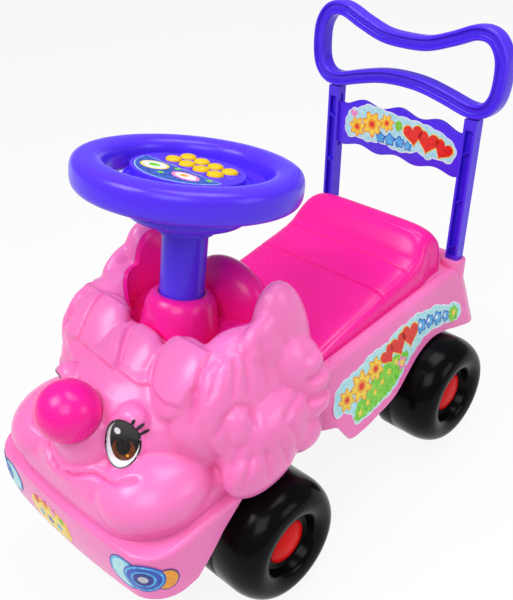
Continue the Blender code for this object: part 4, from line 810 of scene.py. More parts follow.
def make_head():
    skin, plain = make_skin()
    cut(skin, block((-0.2, -0.4, 0.0), (0.2, 0.2, BUMPER_TOP_Z + GAP)))
    cut(skin, block((-0.2, SEAT_FRONT_Y - GAP, 0.0), (0.2, 0.2, 0.5)))
    liner = combine(plain, basin_prism(0.0, BASIN_FLOOR_Z - WALL, 0.4), "INTERSECT")
    cut(skin, basin_prism(-GAP, BASIN_FLOOR_Z - WALL - GAP, 0.4))
    cut(skin, ring_loft("space", body_levels(-GAP, BODY_BOTTOM_Z)))
    cut(skin, ball(NOSE_CENTRE, [r + GAP for r in NOSE_RADII]))
    smooth(skin.data, 40.0)
    dress(skin, "moulded_head", PINK, "body", "head")

    cut(liner, basin_prism(WALL, BASIN_FLOOR_Z, 0.5))
    top, foot = BASIN_FLOOR_AT - 0.0417, BASIN_FLOOR_AT + 0.018
    rings = [(0.0, -top), (0.025, -top), (0.0266, -top - 0.0004), (0.0284, -top - 0.0016), (0.03, -top - 0.0036),
             (0.0318, -top - 0.006), (0.034, -BASIN_FLOOR_AT + 0.03), (0.0362, -BASIN_FLOOR_AT + 0.016),
             (0.0395, -BASIN_FLOOR_AT), (0.044, -foot), (0.0, -foot)]
    boss = place(turned("boss", rings), steer_matrix())
    combine(boss, basin_prism(WALL / 2, BASIN_FLOOR_Z - WALL / 2, 0.5), "INTERSECT")
    pommel = ((0.0, -0.038, 0.2365), (0.055, 0.0285, 0.057))
    join(liner, ball(*pommel))
    join(liner, boss)
    cut(liner, ball(pommel[0], [r - WALL for r in pommel[1]]))
    cut(liner, block((-0.2, -0.4, 0.0), (0.2, 0.2, BASIN_FLOOR_Z - WALL)))
    cut(liner, block((-0.2, SEAT_FRONT_Y - GAP, 0.0), (0.2, 0.2, 0.5)))
    cut(liner, place(cylinder(COLUMN_RADIUS + 0.001, 0.12), steer_matrix(0.14)))
    smooth(liner.data, 40.0)
    dress(liner, "cowl_lining", HOT, "body", "cowl")
    nose = ball(NOSE_CENTRE, NOSE_RADII, 72)
    smooth(nose.data)
    dress(nose, "ball_nose", HOT, "body", "nose")
    return skin


# Seat

SEAT_PROFILE = ((0.0, 0.008), (0.181, 0.0155), (0.353, 0.0205), (0.473, 0.025), (0.654, 0.0315), (0.731, 0.038),
                (0.809, 0.054), (0.86, 0.058), (0.912, 0.054), (0.963, 0.038), (1.0, 0.016))
SEAT_GROOVES = ((0.473, 0.0014, 0.0012), (0.669, 0.0014, 0.0012), (0.826, -0.0007, 0.0008), (0.845, -0.0007, 0.0008))


def seat_section(y, inset, steps=72):
    base = DECK_Z + GAP
    share = (y - SEAT_FRONT_Y) / SEAT_LENGTH
    top = DECK_Z + smooth_value(SEAT_PROFILE, share) - inset
    for at, depth, width in SEAT_GROOVES:
        top -= depth * math.exp(-((share - at) * SEAT_LENGTH / width) ** 2)
    half = SEAT_HALF - inset
    half -= 0.0165 * max(0.0, (share - 0.908) / 0.092) ** 2
    half -= 0.004 * min(1.0, max(0.0, (share - 0.761) / 0.086))
    low = base if not inset else base - 0.01
    points = []
    for k in range(steps + 1):
        angle = math.pi * k / steps
        c, s = math.cos(angle), math.sin(angle)
        x = half * blunt(c, 0.34)
        line = 0.0 if inset else 0.0007 * math.exp(-((abs(x) - half + 0.0075) / 0.0011) ** 2)
        points.append((x, y, base + (top - base) * abs(s) ** 0.34 - line * abs(s)))
    return points + [(-half, y, low), (half, y, low)]


def make_seat():
    stations = {SEAT_FRONT_Y + SEAT_LENGTH * k / 90 for k in range(91)}
    for at, _, width in SEAT_GROOVES:
        stations |= {SEAT_FRONT_Y + at * SEAT_LENGTH + width * k / 2 for k in range(-4, 5)}
    rings = []
    for y in sorted(stations):
        near = max(0.0, 1.0 - (y - SEAT_FRONT_Y) / 0.006)
        sink = 0.003 * near ** 2
        rings.append([(x, py, max(z - sink, DECK_Z + GAP)) for x, py, z in seat_section(y, 0.0)])
    seat = ring_loft("seat", rings)
    shares = [0.015 + 0.94 * k / 30 for k in range(31)]
    cut(seat, ring_loft("seat_hollow", [seat_section(SEAT_FRONT_Y + s * SEAT_LENGTH, WALL, 24) for s in shares]))
    smooth(seat.data, 38.0)
    dress(seat, "moulded_seat", HOT, "body", "seat")


# Handle

LOOP_PATH = mm(((0, 231), (30, 233), (60, 242.5), (88, 253), (108, 250), (120, 233),
             (122.2, 208), (118.5, 188), (107.5, 176), (90, 173.5), (60, 181), (30, 187.5),
             (0, 189.5)))


def smooth_loop(knots, count):
    """Closed smooth line through knots."""
    points = []
    total = len(knots)
    for k in range(total):
        p0, p1, p2, p3 = (knots[(k + shift) % total] for shift in (-1, 0, 1, 2))
        for step in range(count):
            t = step / count
            points.append(tuple(0.5 * (2 * b + (c - a) * t + (2 * a - 5 * b + 4 * c - d) * t**2
                                       + (3 * b - a - 3 * c + d) * t**3) for a, b, c, d in zip(p0, p1, p2, p3)))
    return points


def make_handle():
    w, d = 0.008, 0.0095
    quarter = [(w, 0.0), (w, d * 0.55), (w * 0.97, d * 0.74), (w * 0.9, d * 0.9), (w * 0.8, d * 0.985), (w * 0.7, d),
               (w * 0.6, d * 0.985), (w * 0.53, d * 0.9), (w * 0.48, d * 0.76), (w * 0.4, d * 0.66), (w * 0.22, d * 0.61),
               (0.0, d * 0.6)]
    upper = quarter + [(-x, y) for x, y in reversed(quarter[:-1])]
    section = obj_from("section", poly_curve("section", upper + [(x, -y) for x, y in reversed(upper[1:-1])]))
    path = poly_curve("loop", smooth_loop(LOOP_PATH + tuple((-x, s) for x, s in reversed(LOOP_PATH[1:-1])), 9))
    path.dimensions = "3D"
    path.twist_mode = "Z_UP"
    path.bevel_mode = "OBJECT"
    path.bevel_object = section
    loop = baked(obj_from("loop", path), "loop")
    bpy.data.objects.remove(section, do_unlink=True)
    for side in (1, -1):
        cut(loop, block((side * POST_X - 0.0048, 0.156, -0.0048), (side * POST_X + 0.0048, 0.1783, 0.0048)))
        cut(loop, block((side * POST_X - 0.00975, 0.144, -0.02), (side * POST_X + 0.00975, 0.1643, 0.02)))
    place(loop, handle_matrix())
    smooth(loop.data, 38.0)
    dress(loop, "handle_tube", VIOLET, "body", "handle_loop")


def plate_edges(x):
    share = x / POST_X
    wave = 0.0032 * math.cos(2 * math.pi * 1.75 * share)
    fade = min(1.0, (1.0 - abs(share)) * 6.0)
    return 0.097 + wave * 0.8 * fade, 0.153 - 0.0065 * share**2 + wave * fade


def make_plate():
    half = 0.08905
    xs = [half * (2 * k / 120 - 1) for k in range(121)]
    outline = [(x, plate_edges(x)[0]) for x in xs] + [(x, plate_edges(x)[1]) for x in reversed(xs)]
    plate = place(outline_solid("plate", outline, 0.0045, 0.0007), handle_matrix())
    smooth(plate.data)
    dress(plate, "wavy_back_plate", VIOLET, "body", "back_plate")


# Steering wheel

def to_wheel(obj):
    return place(obj, steer_matrix())


def oval(half_x, half_y, centre_y=-0.002):
    angles = [2 * math.pi * k / 96 for k in range(96)]
    return [(half_x * math.cos(a), centre_y + half_y * math.sin(a)) for a in angles]


def slab(outline, low, high):
    return place(outline_solid("slab", outline, high - low), Matrix.Translation((0.0, 0.0, (low + high) / 2)))


def super_ring(centre, half_w, half_h, power, steps):
    points = []
    for k in range(steps):
        angle = 2 * math.pi * k / steps
        c, s = math.cos(angle), math.sin(angle)
        points.append((centre + half_w * blunt(c, power), half_h * blunt(s, power)))
    return points


def make_steering_wheel():
    rim = turned("rim", super_ring(RIM_RADIUS, RIM_HALF, 0.0152, 0.66, 56), True, 144)
    inner = RIM_RADIUS - RIM_HALF
    web = turned("web", [(0.0, WEB_TOP), (inner - 0.001, WEB_TOP), (inner + 0.003, WEB_TOP + 0.0008),
                         (inner + 0.003, WEB_LOW), (0.0, WEB_LOW)], False, 144)
    join(rim, web)
    for middle in (0.0, math.pi):
        angles = [middle + math.radians(44.0) * (k / 12 - 1) for k in range(25)]
        outer = [(0.0733 * math.cos(a), 0.0733 * math.sin(a)) for a in angles]
        near = [(0.0588 * math.cos(a), 0.0588 * math.sin(a)) for a in reversed(angles)]
        cut(rim, slab(outer + near, -0.02, 0.02))
    lip = turned("lip", [(0.0572, WEB_TOP + 0.0012), (0.0586, WEB_TOP + 0.0012), (0.059, WEB_TOP - 0.001),
                         (0.0568, WEB_TOP - 0.001)], True, 144)
    join(rim, lip)
    to_wheel(rim)
    smooth(rim.data, 34.0)
    dress(rim, "wheel_rim", VIOLET, "steering", "steering_wheel")


def make_hub():
    top = WEB_LOW - GAP
    collar = COLUMN_RADIUS + 0.0035
    outer = [(HUB_RADIUS, top), (HUB_RADIUS, -0.03), (HUB_RADIUS - 0.0005, -0.0322), (HUB_RADIUS - 0.0018, -0.0346),
             (HUB_RADIUS - 0.0042, -0.0366), (HUB_RADIUS - 0.008, -0.0382), (0.04, -0.0402), (collar + 0.0045, -0.0418),
             (collar + 0.0028, -0.043), (collar + 0.0025, -0.0445), (collar + 0.0025, -HUB_BOTTOM + 0.0006),
             (collar + 0.0019, -HUB_BOTTOM)]
    bore = COLUMN_RADIUS + GAP
    inner = [(bore, -HUB_BOTTOM), (bore, -HUB_BOTTOM + 0.003), (collar, -HUB_BOTTOM + 0.003), (collar, -0.0398),
             (HUB_RADIUS - 0.01, -0.0352), (HUB_RADIUS - 0.0036, -0.0325), (HUB_RADIUS - 0.0025, -0.03),
             (HUB_RADIUS - 0.0025, top)]
    hub = turned("hub", outer + inner, True, 96)
    for k in range(3):
        angle = math.radians(90.0 + 120.0 * k)
        spot = Matrix.Translation((0.04 * math.cos(angle), 0.04 * math.sin(angle), 0.0))
        join(hub, place(cylinder(0.005, 0.0305, 32), spot @ Matrix.Translation((0.0, 0.0, -0.0238))))
        cut(hub, place(cylinder(0.0017, 0.06, 16), spot @ Matrix.Translation((0.0, 0.0, -0.02))))
        cut(hub, place(cylinder(0.0036, 0.03, 32), spot @ Matrix.Translation((0.0, 0.0, -0.045))))
    to_wheel(hub)
    smooth(hub.data, 34.0)
    dress(hub, "hub_drum", VIOLET, "steering", "hub_cover")
    column = turned("column", [(0.0053, -0.044), (0.0245, -0.044), (0.0245, -0.0472), (COLUMN_RADIUS, -0.0472),
                               (COLUMN_RADIUS, -COLUMN_BOTTOM + 0.001), (COLUMN_RADIUS - 0.001, -COLUMN_BOTTOM),
                               (0.0053, -COLUMN_BOTTOM)], True, 80)
    cut(column, place(cylinder(0.0023, 0.06, 20), Matrix.Translation((0.0, 0.0, -0.15)) @ Matrix.Rotation(math.pi / 2, 4, "Y")))
    to_wheel(column)
    smooth(column.data, 34.0)
    dress(column, "column_tube", VIOLET, "steering", "steering_column")


KEY_SPOTS = [((k % 4 - 1.5) * 0.0184, 0.005 + (k // 4) * 0.0176) for k in range(8)]


def make_sound_box():
    base = WEB_TOP + GAP
    shell = slab(oval(0.0555, 0.0475), base, PAD_TOP)
    shell = bevelled(shell, 0.0018, 4, 60.0)
    cut(shell, slab(oval(0.0535, 0.0455), base - 0.01, PAD_TOP - 0.002))
    for x, y in KEY_SPOTS:
        cut(shell, place(cylinder(0.0081, 0.02, 40), Matrix.Translation((x, y, PAD_TOP))))
        ring = turned("ring", [(0.0096, PAD_TOP - 0.0004), (0.0094, PAD_TOP + 0.0002), (0.0089, PAD_TOP + 0.0005),
                               (0.0084, PAD_TOP + 0.0002), (0.0081, PAD_TOP - 0.0004)], True, 40)
        join(shell, place(ring, Matrix.Translation((x, y, 0.0))))
    to_wheel(shell)
    smooth(shell.data, 34.0)
    dress(shell, "sound_box_shell", VIOLET, "steering", "sound_box")
    for k, (x, y) in enumerate(KEY_SPOTS):
        top, flange = 0.0104, PAD_TOP - 0.002 - GAP
        profile = [(0.0, top + 0.0002), (0.003, top + 0.0001), (0.005, top - 0.0003), (0.0063, top - 0.0009),
                   (0.0072, top - 0.0018), (0.0076, top - 0.0028), (0.0077, top - 0.0038), (0.0077, flange),
                   (0.0085, flange), (0.0085, flange - 0.001), (0.0, flange - 0.001)]
        key = turned("key", profile, False, 40)
        place(key, Matrix.Translation((x, y, 0.0)))
        to_wheel(key)
        name = "key_%d" % (k + 1)
        dress(key, "button_" + name + "_cap", YELLOW, "button_" + name, name)


# Wheels

def make_wheel(side, end, word):
    dish = WHEEL_WIDTH - 0.016
    pocket = dish - 0.01
    crest, radius = 0.046, WHEEL_RADIUS
    profile = [(0.0043, pocket), (0.0105, pocket), (0.0105, dish), (0.028, dish), (0.03, dish + 0.0008),
               (0.0312, dish + 0.003)]
    profile += arc(crest, WHEEL_WIDTH - 0.01, crest - 0.032, 0.01, 165.0, 92.0, 10)
    profile += arc(crest, WHEEL_WIDTH - 0.03, radius - crest, 0.03, 88.0, 4.0, 22)
    profile += [(radius, 0.042), (radius, 0.0245), (radius - 0.00025, 0.024), (radius - 0.00025, 0.0232),
                (radius, 0.0227), (radius, 0.009)]
    profile += arc(radius - 0.006, 0.006, 0.006, 0.006, 0.0, -90.0, 6)
    skin = 0.0045
    profile += [(radius - skin - 0.004, 0.0), (radius - skin, 0.006), (radius - skin, 0.042),
                (crest + 0.008, WHEEL_WIDTH - 0.016), (crest + 0.002, WHEEL_WIDTH - 0.008),
                (0.0345, dish - skin), (0.015, dish - skin), (0.015, 0.0), (0.0043, 0.0)]
    tyre = turned("tyre", profile, True, 112)
    spot = side_matrix(side, WHEEL_INNER_X, AXLE_Y[end], radius)
    body = "wheel_set_" + word
    dress(place(tyre, spot), "tyre_" + word, BLACK, body, "wheel_" + word)
    base = dish + GAP
    cap = [(0.0, base + 0.0068), (0.006, base + 0.0066), (0.011, base + 0.0059), (0.0155, base + 0.0048),
           (0.0195, base + 0.0034), (0.022, base + 0.0022), (0.023, base + 0.0014), (0.0235, base + 0.0006),
           (0.0235, base), (0.0102, base), (0.0102, pocket + 0.0055), (0.0, pocket + 0.0055)]
    cover = place(turned("cap", cap, False, 64), spot)
    dress(cover, "hub_cap_" + word, RED, body, "cap_" + word)


# Stickers

def tree_of(obj):
    bm = bmesh.new()
    bm.from_mesh(obj.data)
    tree = BVHTree.FromBMesh(bm)
    bm.free()
    return tree


def across_and_up(normal):
    right = Vector((0.0, 0.0, 1.0)).cross(normal).normalized()
    return right, normal.cross(right)


def patch(name, tree, centre, normal, half_x, half_y, material, lift, power=1.0, wave=None, turn=0.0, rings=7, steps=64):
    """A thin film, oval or wavy, pressed onto the surface that a BVH tree holds."""
    normal = Vector(normal).normalized()
    right, up = across_and_up(normal)
    right, up = (right * math.cos(turn) + up * math.sin(turn), up * math.cos(turn) - right * math.sin(turn))
    bm = bmesh.new()

    def spot(x, y):
        start = Vector(centre) + right * x + up * y
        point, face_normal, _, _ = tree.ray_cast(start + normal * 0.02, -normal)
        if point is None:
            point, face_normal = start, normal
        return bm.verts.new(point + face_normal * lift)

    middle = spot(0.0, 0.0)
    loops = []
    for ring in range(1, rings + 1):
        loop = []
        for k in range(steps):
            angle = 2 * math.pi * k / steps
            c, s = math.cos(angle), math.sin(angle)
            reach = ring / rings * (wave(angle) if wave else 1.0)
            loop.append(spot(half_x * reach * blunt(c, power), half_y * reach * blunt(s, power)))
        loops.append(loop)
    for k in range(steps):
        nxt = (k + 1) % steps
        bm.faces.new((middle, loops[0][k], loops[0][nxt]))
        for low, high in zip(loops, loops[1:]):
            bm.faces.new((low[k], high[k], high[nxt], low[nxt]))
    return film(bm, name, material)


FILM = 0.00016


def film(bm, name, material):
    bmesh.ops.recalc_face_normals(bm, faces=bm.faces)
    obj = obj_from(name, mesh_from(bm, name), material)
    shell = obj.modifiers.new("film", "SOLIDIFY")
    shell.thickness = FILM
    shell.offset = -1.0
    made = baked(obj, name, material)
    smooth(made.data, 40.0)
    return made


def flat_shape(name, outline, matrix, lift, material):
    """A flat film with the given outline in the XY plane of matrix."""
    made = outline_solid(name, outline, FILM)
    place(made, matrix @ Matrix.Translation((0.0, 0.0, lift)))
    made.data.materials.clear()
    made.data.materials.append(material)
    return made


INK = {word: printed("ink_" + word, one, two) for word, one, two in (
    ("white", (0.9, 0.92, 0.93), (0.8, 0.86, 0.9)), ("sky", (0.34, 0.78, 0.84), (0.56, 0.9, 0.9)),
    ("blue", (0.008, 0.045, 0.42), (0.02, 0.12, 0.6)), ("azure", (0.03, 0.34, 0.8), (0.16, 0.58, 0.9)),
    ("navy", (0.01, 0.02, 0.22), (0.02, 0.04, 0.34)), ("red", (0.74, 0.008, 0.008), (0.88, 0.03, 0.01)),
    ("orange", (0.88, 0.3, 0.01), (0.95, 0.45, 0.02)), ("yellow", (0.95, 0.66, 0.02), (0.98, 0.8, 0.1)),
    ("green", (0.1, 0.58, 0.02), (0.34, 0.8, 0.05)), ("pink", (0.92, 0.16, 0.5), (0.98, 0.45, 0.75)),
    ("black", (0.006, 0.006, 0.007), (0.02, 0.016, 0.015)), ("brown", (0.085, 0.018, 0.004), (0.2, 0.06, 0.015)),
    ("grey", (0.45, 0.47, 0.48), (0.62, 0.64, 0.64)))}


def star(points, outer, inner, x=0.0, y=0.0, turn=0.0):
    made = []
    for k in range(points * 2):
        angle = math.pi * k / points + turn
        reach = outer if k % 2 == 0 else inner
        made.append((x + reach * math.cos(angle), y + reach * math.sin(angle)))
    return smooth_loop(made, 3)


def flower(petals, reach, x=0.0, y=0.0, turn=0.0, depth=0.28):
    made = []
    for k in range(60):
        angle = 2 * math.pi * k / 60
        long = reach * (1 - depth + depth * math.cos(petals * angle))
        made.append((x + long * math.cos(angle + turn), y + long * math.sin(angle + turn)))
    return made


def disc(rx, ry, x=0.0, y=0.0):
    angles = [2 * math.pi * k / 40 for k in range(40)]
    return [(x + rx * math.cos(a), y + ry * math.sin(a)) for a in angles]


def heart(size, x=0.0, y=0.0, turn=0.0, steps=48):
    made = []
    for k in range(steps):
        t = 2 * math.pi * k / steps
        px = size * math.sin(t) ** 3
        py = size * 0.0625 * (13 * math.cos(t) - 5 * math.cos(2 * t) - 2 * math.cos(3 * t) - math.cos(4 * t))
        made.append((x + px * math.cos(turn) - py * math.sin(turn), y + px * math.sin(turn) + py * math.cos(turn)))
    return made


def daisy(x, y, reach):
    return [(flower(7, reach, x, y, 0.3, 0.16), "orange", 3), (flower(7, reach * 0.86, x, y, 0.3, 0.2), "yellow", 4),
            (disc(reach * 0.4, reach * 0.4, x, y), "orange", 5), (disc(reach * 0.22, reach * 0.22, x, y), "red", 6)]


def red_heart(x, y, size, turn):
    return [(heart(size, x, y, turn), "yellow", 3), (heart(size * 0.9, x, y, turn), "red", 4)]


def blue_flower(x, y, reach, share):
    return [(flower(5, reach, x, y, 0.4, 0.14), "blue", 3), (flower(5, reach * share, x, y, 0.4, 0.16), "azure", 4)]


def grow(outline, by):
    """The outline pushed outwards by a small distance."""
    made = []
    count = len(outline)
    area = sum(a[0] * b[1] - b[0] * a[1] for a, b in zip(outline, outline[1:] + outline[:1]))
    sign = 1.0 if area > 0 else -1.0
    for k in range(count):
        (x0, y0), (x1, y1), (x2, y2) = outline[k - 1], outline[k], outline[(k + 1) % count]
        dx, dy = x2 - x0, y2 - y0
        length = math.hypot(dx, dy) or 1.0
        made.append((x1 + sign * by * dy / length, y1 - sign * by * dx / length))
    return made


def frilled(outline, depth, waves):
    """The outline with small scallops along it."""
    count = len(outline)
    shares = [abs(math.sin(math.pi * waves * k / count)) for k in range(count)]
    return [(a + (c - a) * s, b + (d - b) * s) for (a, b), (c, d), s in zip(outline, grow(outline, depth), shares)]


def sheet_of_shapes(prefix, body, matrix, shapes):
    """Layered flat shapes: each (outline, ink, level)."""
    for k, (outline, ink, level) in enumerate(shapes):
        made = flat_shape("%s_%02d" % (prefix, k), outline, matrix, 0.0001 + 0.00012 * level, INK[ink])
        dress(made, made.name, None, body)


def make_eyes(tree):
    for side, word in SIDES:
        centre, normal = mirror(EYE[0], side), mirror(EYE[1], side).normalized()
        right, up = across_and_up(normal)
        for k, (dx, dy, rx, ry, ink) in enumerate((
                (0.0, 0.0, 0.018, 0.022, "black"), (-0.0003, -0.001, 0.0166, 0.02, "grey"),
                (0.0002, -0.0013, 0.0158, 0.0192, "white"), (0.0018, 0.0026, 0.0145, 0.0182, "black"),
                (0.0016, -0.0064, 0.0116, 0.0092, "brown"), (0.001, -0.003, 0.0072, 0.0086, "black"),
                (-0.0048, 0.0098, 0.0031, 0.0033, "white"), (0.0064, -0.0112, 0.0013, 0.0012, "orange"))):
            spot = centre + right * dx * side + up * dy
            made = patch("eye", tree, spot, normal, rx, ry, INK[ink], 0.00025 + 0.00012 * k, turn=-0.06 * side, rings=9,
                         steps=64)
            dress(made, "eye_%s_%d" % (word, k), None, "body")
        for k, (x, y, degrees) in enumerate(((0.0118, 0.019, 68.0), (0.016, 0.0158, 47.0), (0.0178, 0.01, 26.0))):
            spot = centre + right * x * side + up * y
            made = patch("lash", tree, spot, normal, 0.0062, 0.0022, INK["black"], 0.0007, turn=math.radians(degrees) * side,
                         rings=3, steps=24, wave=lambda a: 0.45 + 0.55 * abs(math.cos(a)))
            dress(made, "lash_%s_%d" % (word, k), None, "body")


LIGHTS = (
    ((0.0905, -0.2708, 0.1222), (0.2, -0.97, 0.05),
     ((0.0195, 0.019, "navy"), (0.018, 0.0175, "azure"), (0.0158, 0.0153, "sky"))),
    ((0.1215, -0.251, 0.1185), (0.88, -0.46, 0.06), ((0.0115, 0.0125, "navy"), (0.0102, 0.0112, "orange"))),
    ((0.108, -0.264, 0.1225), (0.56, -0.82, 0.06),
     ((0.019, 0.017, "blue"), (0.0176, 0.0156, "azure"), (0.0156, 0.0136, "blue"), (0.0112, 0.0098, "azure"),
      (0.0092, 0.008, "navy"), (0.0046, 0.004, "grey"))))


def make_bumper_stickers(tree):
    for side, word in SIDES:
        layers = [(spot, normal, *size, ink) for spot, normal, ovals in LIGHTS for *size, ink in ovals]
        for k, (centre, normal, rx, ry, ink) in enumerate(layers):
            made = patch("light", tree, mirror(centre, side), mirror(normal, side), rx, ry, INK[ink], 0.00025 + 0.00012 * k)
            dress(made, "light_%s_%d" % (word, k), None, "body")
    # Bare plate on the bumper's middle, with a row of plain shapes on top
    centre, normal = (-0.022, -0.2757, 0.1115), (0.0, -1.0, 0.0)
    for k, (rx, ry, ink, power) in enumerate(((0.033, 0.0165, "yellow", 0.62), (0.03, 0.0138, "orange", 0.6),
                                              (0.0292, 0.013, "yellow", 0.6))):
        made = patch("plate", tree, centre, normal, rx, ry, INK[ink], 0.00025 + 0.00012 * k, power)
        dress(made, "bumper_plate_%d" % k, None, "body")
    for k, (x, z, reach, ink) in enumerate(((-0.02, 0.012, 0.005, "red"), (-0.006, 0.014, 0.0055, "orange"),
                                            (0.008, 0.013, 0.005, "pink"), (0.021, 0.0105, 0.0042, "green"),
                                            (-0.015, -0.001, 0.0048, "azure"), (0.0, -0.0015, 0.0052, "blue"),
                                            (0.015, -0.0015, 0.0048, "azure"))):
        made = patch("dot", tree, (centre[0] + x, centre[1], centre[2] + z), normal, reach, reach, INK[ink],
                     0.00066, wave=lambda a: 0.8 + 0.2 * math.cos(5 * a), rings=4, steps=50)
        dress(made, "bumper_flower_%d" % k, None, "body")


def make_side_stickers():
    cloud = smooth_loop(mm([(-17.3, 137), (-12, 156), (0, 164), (17.5, 165.5), (32.3, 166),
                         (48, 170), (64, 170), (79.9, 169), (98, 173.5), (117.7, 173),
                         (134, 174.5), (149.8, 170), (172, 166.5), (189.5, 157.5), (208, 152),
                         (214.7, 142), (208.3, 134.5), (193, 138.5), (174.1, 143), (146.5, 146.5),
                         (130, 142), (115, 137), (98, 129), (86, 121), (70, 115),
                         (48.9, 113), (30.8, 111.5), (9.2, 112.7), (6.8, 124), (-4.1, 135)]), 12)
    cloud = frilled(cloud, 0.0016, 34)
    hill = smooth_loop(mm([(9, 115.5), (15, 129), (33, 137), (52, 144), (70, 148),
                        (90, 148), (108, 142), (99, 133), (86, 124.5), (69, 117.5),
                        (48.9, 115.2), (30.8, 113.7)]), 8)
    shapes = [(grow(cloud, 0.0013), "white", 0), (cloud, "sky", 1), (frilled(hill, 0.0022, 26), "green", 2)]
    for k in range(6):
        shapes.append((star(5, 0.005, 0.0022, 0.017 + 0.014 * k, 0.1195 + 0.0045 * k, 0.4 * k), "yellow", 3))
    for x, z, reach in ((0.002, 0.145, 0.013), (0.027, 0.147, 0.018), (0.053, 0.153, 0.014)):
        shapes += daisy(x, z, reach)
    for x, z, size, turn in ((0.076, 0.157, 0.013, 0.4), (0.096, 0.159, 0.015, 0.1), (0.118, 0.16, 0.016, -0.2)):
        shapes += red_heart(x, z, size, turn)
    shapes += [(flower(5, 0.0085, 0.096, 0.136, 0.2, 0.2), "pink", 3), (disc(0.0036, 0.0036, 0.096, 0.136), "yellow", 4)]
    for x, z, r in ((0.139, 0.159, 0.0095), (0.155, 0.157, 0.0085), (0.17, 0.153, 0.009), (0.185, 0.148, 0.0075)):
        shapes += blue_flower(x, z, r, 0.82) + [(disc(r * 0.3, r * 0.26, x - r * 0.2, z + r * 0.2), "white", 5)]
    shapes += [(flower(6, 0.0105, 0.2, 0.143, 0.0, 0.12), "green", 3), (disc(0.0035, 0.0035, 0.201, 0.144), "yellow", 4)]
    slope = (BODY_HALF - BODY_TOP_HALF) / (DECK_Z - BODY_EDGE - BODY_BOTTOM_Z)
    lean = math.atan(slope)
    for side, word in SIDES:
        # The panel's own plane: its x along the car, its y up the slanted side
        matrix = axes((0.0, 1.0, 0.0), (-side * math.sin(lean), 0.0, math.cos(lean)),
                      (side * math.cos(lean), 0.0, math.sin(lean)), (side * (BODY_HALF + slope * BODY_BOTTOM_Z), 0.0, 0.0))
        sheet_of_shapes("side_sticker_" + word, "body", matrix,
                        [([(x, z / math.cos(lean)) for x, z in outline], ink, level) for outline, ink, level in shapes])


def make_plate_sticker():
    cloud = smooth_loop(mm([(-73.5, 132), (-68, 140), (-57.8, 143), (-46, 149), (-25.9, 148.5),
                         (-7.9, 146), (13.3, 145), (32.2, 144), (50, 141), (68.2, 135),
                         (79, 125), (73.9, 111), (55.6, 111.5), (43.1, 108), (30.8, 113),
                         (15, 108.5), (-1.2, 107.5), (-16, 111), (-29.7, 110.5), (-43, 108.5),
                         (-56.7, 110.5), (-71.3, 109), (-76, 120)]), 12)
    cloud = frilled(cloud, 0.0014, 26)
    shapes = [(grow(cloud, 0.0012), "white", 0), (cloud, "sky", 1), (heart(0.0052, -0.065, 0.1365), "pink", 3)]
    for x, s, reach in ((-0.059, 0.1215, 0.0125), (-0.037, 0.129, 0.016), (-0.016, 0.135, 0.011)):
        shapes += daisy(x, s, reach)
    for x, s, r in ((-0.023, 0.116, 0.007), (-0.01, 0.1165, 0.008), (0.004, 0.117, 0.0075), (0.016, 0.115, 0.006)):
        shapes += blue_flower(x, s, r, 0.8)
    shapes += [(disc(0.005, 0.006, 0.001, 0.1355), "green", 3)]
    for x, s, size, turn in ((0.022, 0.1305, 0.0145, 0.2), (0.043, 0.1265, 0.0155, -0.1), (0.064, 0.1225, 0.0135, -0.4)):
        shapes += red_heart(x, s, size, turn)
    sheet_of_shapes("plate_sticker", "body", handle_matrix() @ Matrix.Translation((0.0, 0.0, 0.00225)), shapes)


def make_wheel_label():
    chord = -0.007
    outline = [(x, y) for x, y in oval(0.05, 0.042, -0.003) if y < chord]
    shapes = [(grow(outline, 0.0008), "sky", 0), (outline, "blue", 1)]
    shapes += [(disc(0.015, 0.011, -0.021, -0.0225), "yellow", 2), (disc(0.0128, 0.009, -0.021, -0.0225), "white", 3),
               (disc(0.006, 0.0042, -0.021, -0.0225), "green", 4), (disc(0.0155, 0.0085, 0.019, -0.0215), "pink", 2),
               (disc(0.012, 0.006, 0.019, -0.0215), "white", 3), (disc(0.0045, 0.0028, 0.017, -0.0215), "orange", 4)]
    shapes += [(disc(0.0032, 0.0024, x, y), "green", 2) for x, y in ((-0.002, -0.0125), (0.0, -0.033), (0.039, -0.0125))]
    sheet_of_shapes("wheel_label", "steering", steer_matrix(-PAD_TOP), shapes)


# Small nodes that keep their solids

def finish_solids():
    plain = {"post_left": VIOLET, "post_right": VIOLET, "key_mat": RUBBER, "circuit_board": BOARD, "speaker": PAPER,
             "axle_yoke": YOKE, "column_bush": NYLON, "rear_bush_left": NYLON, "rear_bush_right": NYLON}
    for name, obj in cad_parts.items():
        material = plain.get(name)
        if material is None and any(word in name for word in ("axle", "pin", "rod", "screw", "push_nut")):
            material = STEEL
        if material:
            for index in range(len(obj.data.materials)):
                obj.data.materials[index] = material
            if not obj.data.materials:
                obj.data.materials.append(material)


# Stage, light and camera

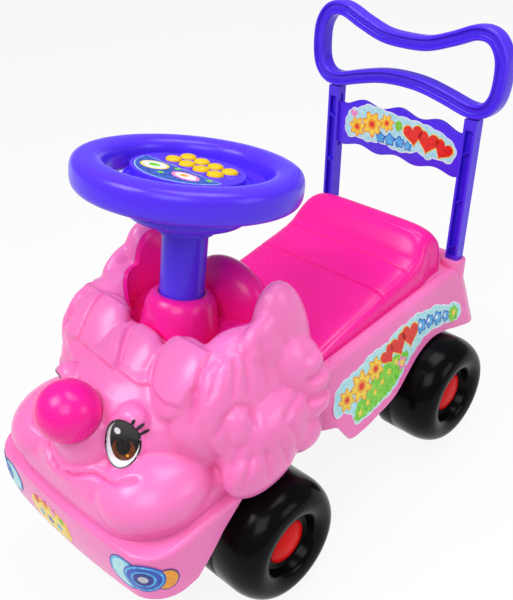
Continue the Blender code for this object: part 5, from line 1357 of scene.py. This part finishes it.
def make_stage():
    bm = bmesh.new()
    bmesh.ops.create_grid(bm, x_segments=1, y_segments=1, size=6.0)
    floor = obj_from("floor", mesh_from(bm, "floor"))
    n = Nodes("floor_white")
    n.set(Base_Color=(0.9, 0.9, 0.9, 1.0), Roughness=0.7)
    glow, path, blend = (n.add("ShaderNode" + kind) for kind in ("Emission", "LightPath", "MixShader"))
    glow.inputs["Strength"].default_value = 1.0
    seen, share = n.add("ShaderNodeMath", operation="MAXIMUM"), n.add("ShaderNodeMath", operation="MULTIPLY")
    share.inputs[1].default_value = 0.9
    for source, target in ((path.outputs["Is Camera Ray"], seen.inputs[0]), (path.outputs["Is Glossy Ray"], seen.inputs[1]),
                           (seen.outputs[0], share.inputs[0]), (share.outputs[0], blend.inputs["Fac"]),
                           (n.shader.outputs["BSDF"], blend.inputs[1]), (glow.outputs["Emission"], blend.inputs[2]),
                           (blend.outputs["Shader"], n.tree.nodes["Material Output"].inputs["Surface"])):
        n.link(source, target)
    floor.data.materials.append(n.material)
    world = bpy.data.worlds.new("studio")
    bpy.context.scene.world = world
    world.use_nodes = True
    back = world.node_tree.nodes["Background"]
    back.inputs["Color"].default_value = (1.0, 1.0, 1.0, 1.0)
    back.inputs["Strength"].default_value = 0.26
    for name, spot, size, power in (("key", (-0.35, -0.8, 1.4), 0.6, 10.5), ("front", (0.6, -0.8, 1.25), 0.7, 6.5),
                                    ("top", (0.1, 0.35, 1.6), 0.8, 11.0), ("side", (1.3, 0.45, 0.75), 0.6, 3.5)):
        lamp = bpy.data.lights.new(name, "AREA")
        lamp.size = size
        lamp.energy = power
        lamp.color = (0.97, 0.94, 1.0)
        obj = bpy.data.objects.new(name, lamp)
        bpy.context.scene.collection.objects.link(obj)
        obj.location = spot
        obj.rotation_euler = (Vector((0.0, -0.02, 0.2)) - Vector(spot)).to_track_quat("-Z", "Y").to_euler()


def make_camera():
    azimuth, elevation, roll = (math.radians(v) for v in (44.3867, 35.4563, -3.9526))
    back = Vector((math.sin(azimuth) * math.cos(elevation), -math.cos(azimuth) * math.cos(elevation), math.sin(elevation)))
    right = Vector((math.cos(azimuth), math.sin(azimuth), 0.0))
    up = back.cross(right)
    across = right * math.cos(roll) + up * math.sin(roll)
    over = up * math.cos(roll) - right * math.sin(roll)
    data = bpy.data.cameras.new("camera")
    data.sensor_width = 36.0
    data.lens = 47.72
    data.shift_x = -0.0677
    data.shift_y = 0.0186
    data.clip_start = 0.01
    camera = bpy.data.objects.new("camera", data)
    bpy.context.scene.collection.objects.link(camera)
    camera.matrix_world = axes(across, over, back, (0.5164, -0.4698, 0.7013))
    bpy.context.scene.camera = camera
    bpy.context.scene.view_settings.view_transform = "Standard"


def build():
    make_camera()
    make_stage()
    body = make_chassis()
    head = make_head()
    make_seat()
    make_handle()
    make_plate()
    make_steering_wheel()
    make_hub()
    make_sound_box()
    for end in ("front", "rear"):
        for side, word in SIDES:
            make_wheel(side, end, end + "_" + word)
    make_eyes(tree_of(head))
    make_bumper_stickers(tree_of(body))
    make_side_stickers()
    make_plate_sticker()
    make_wheel_label()
    finish_solids()


build()
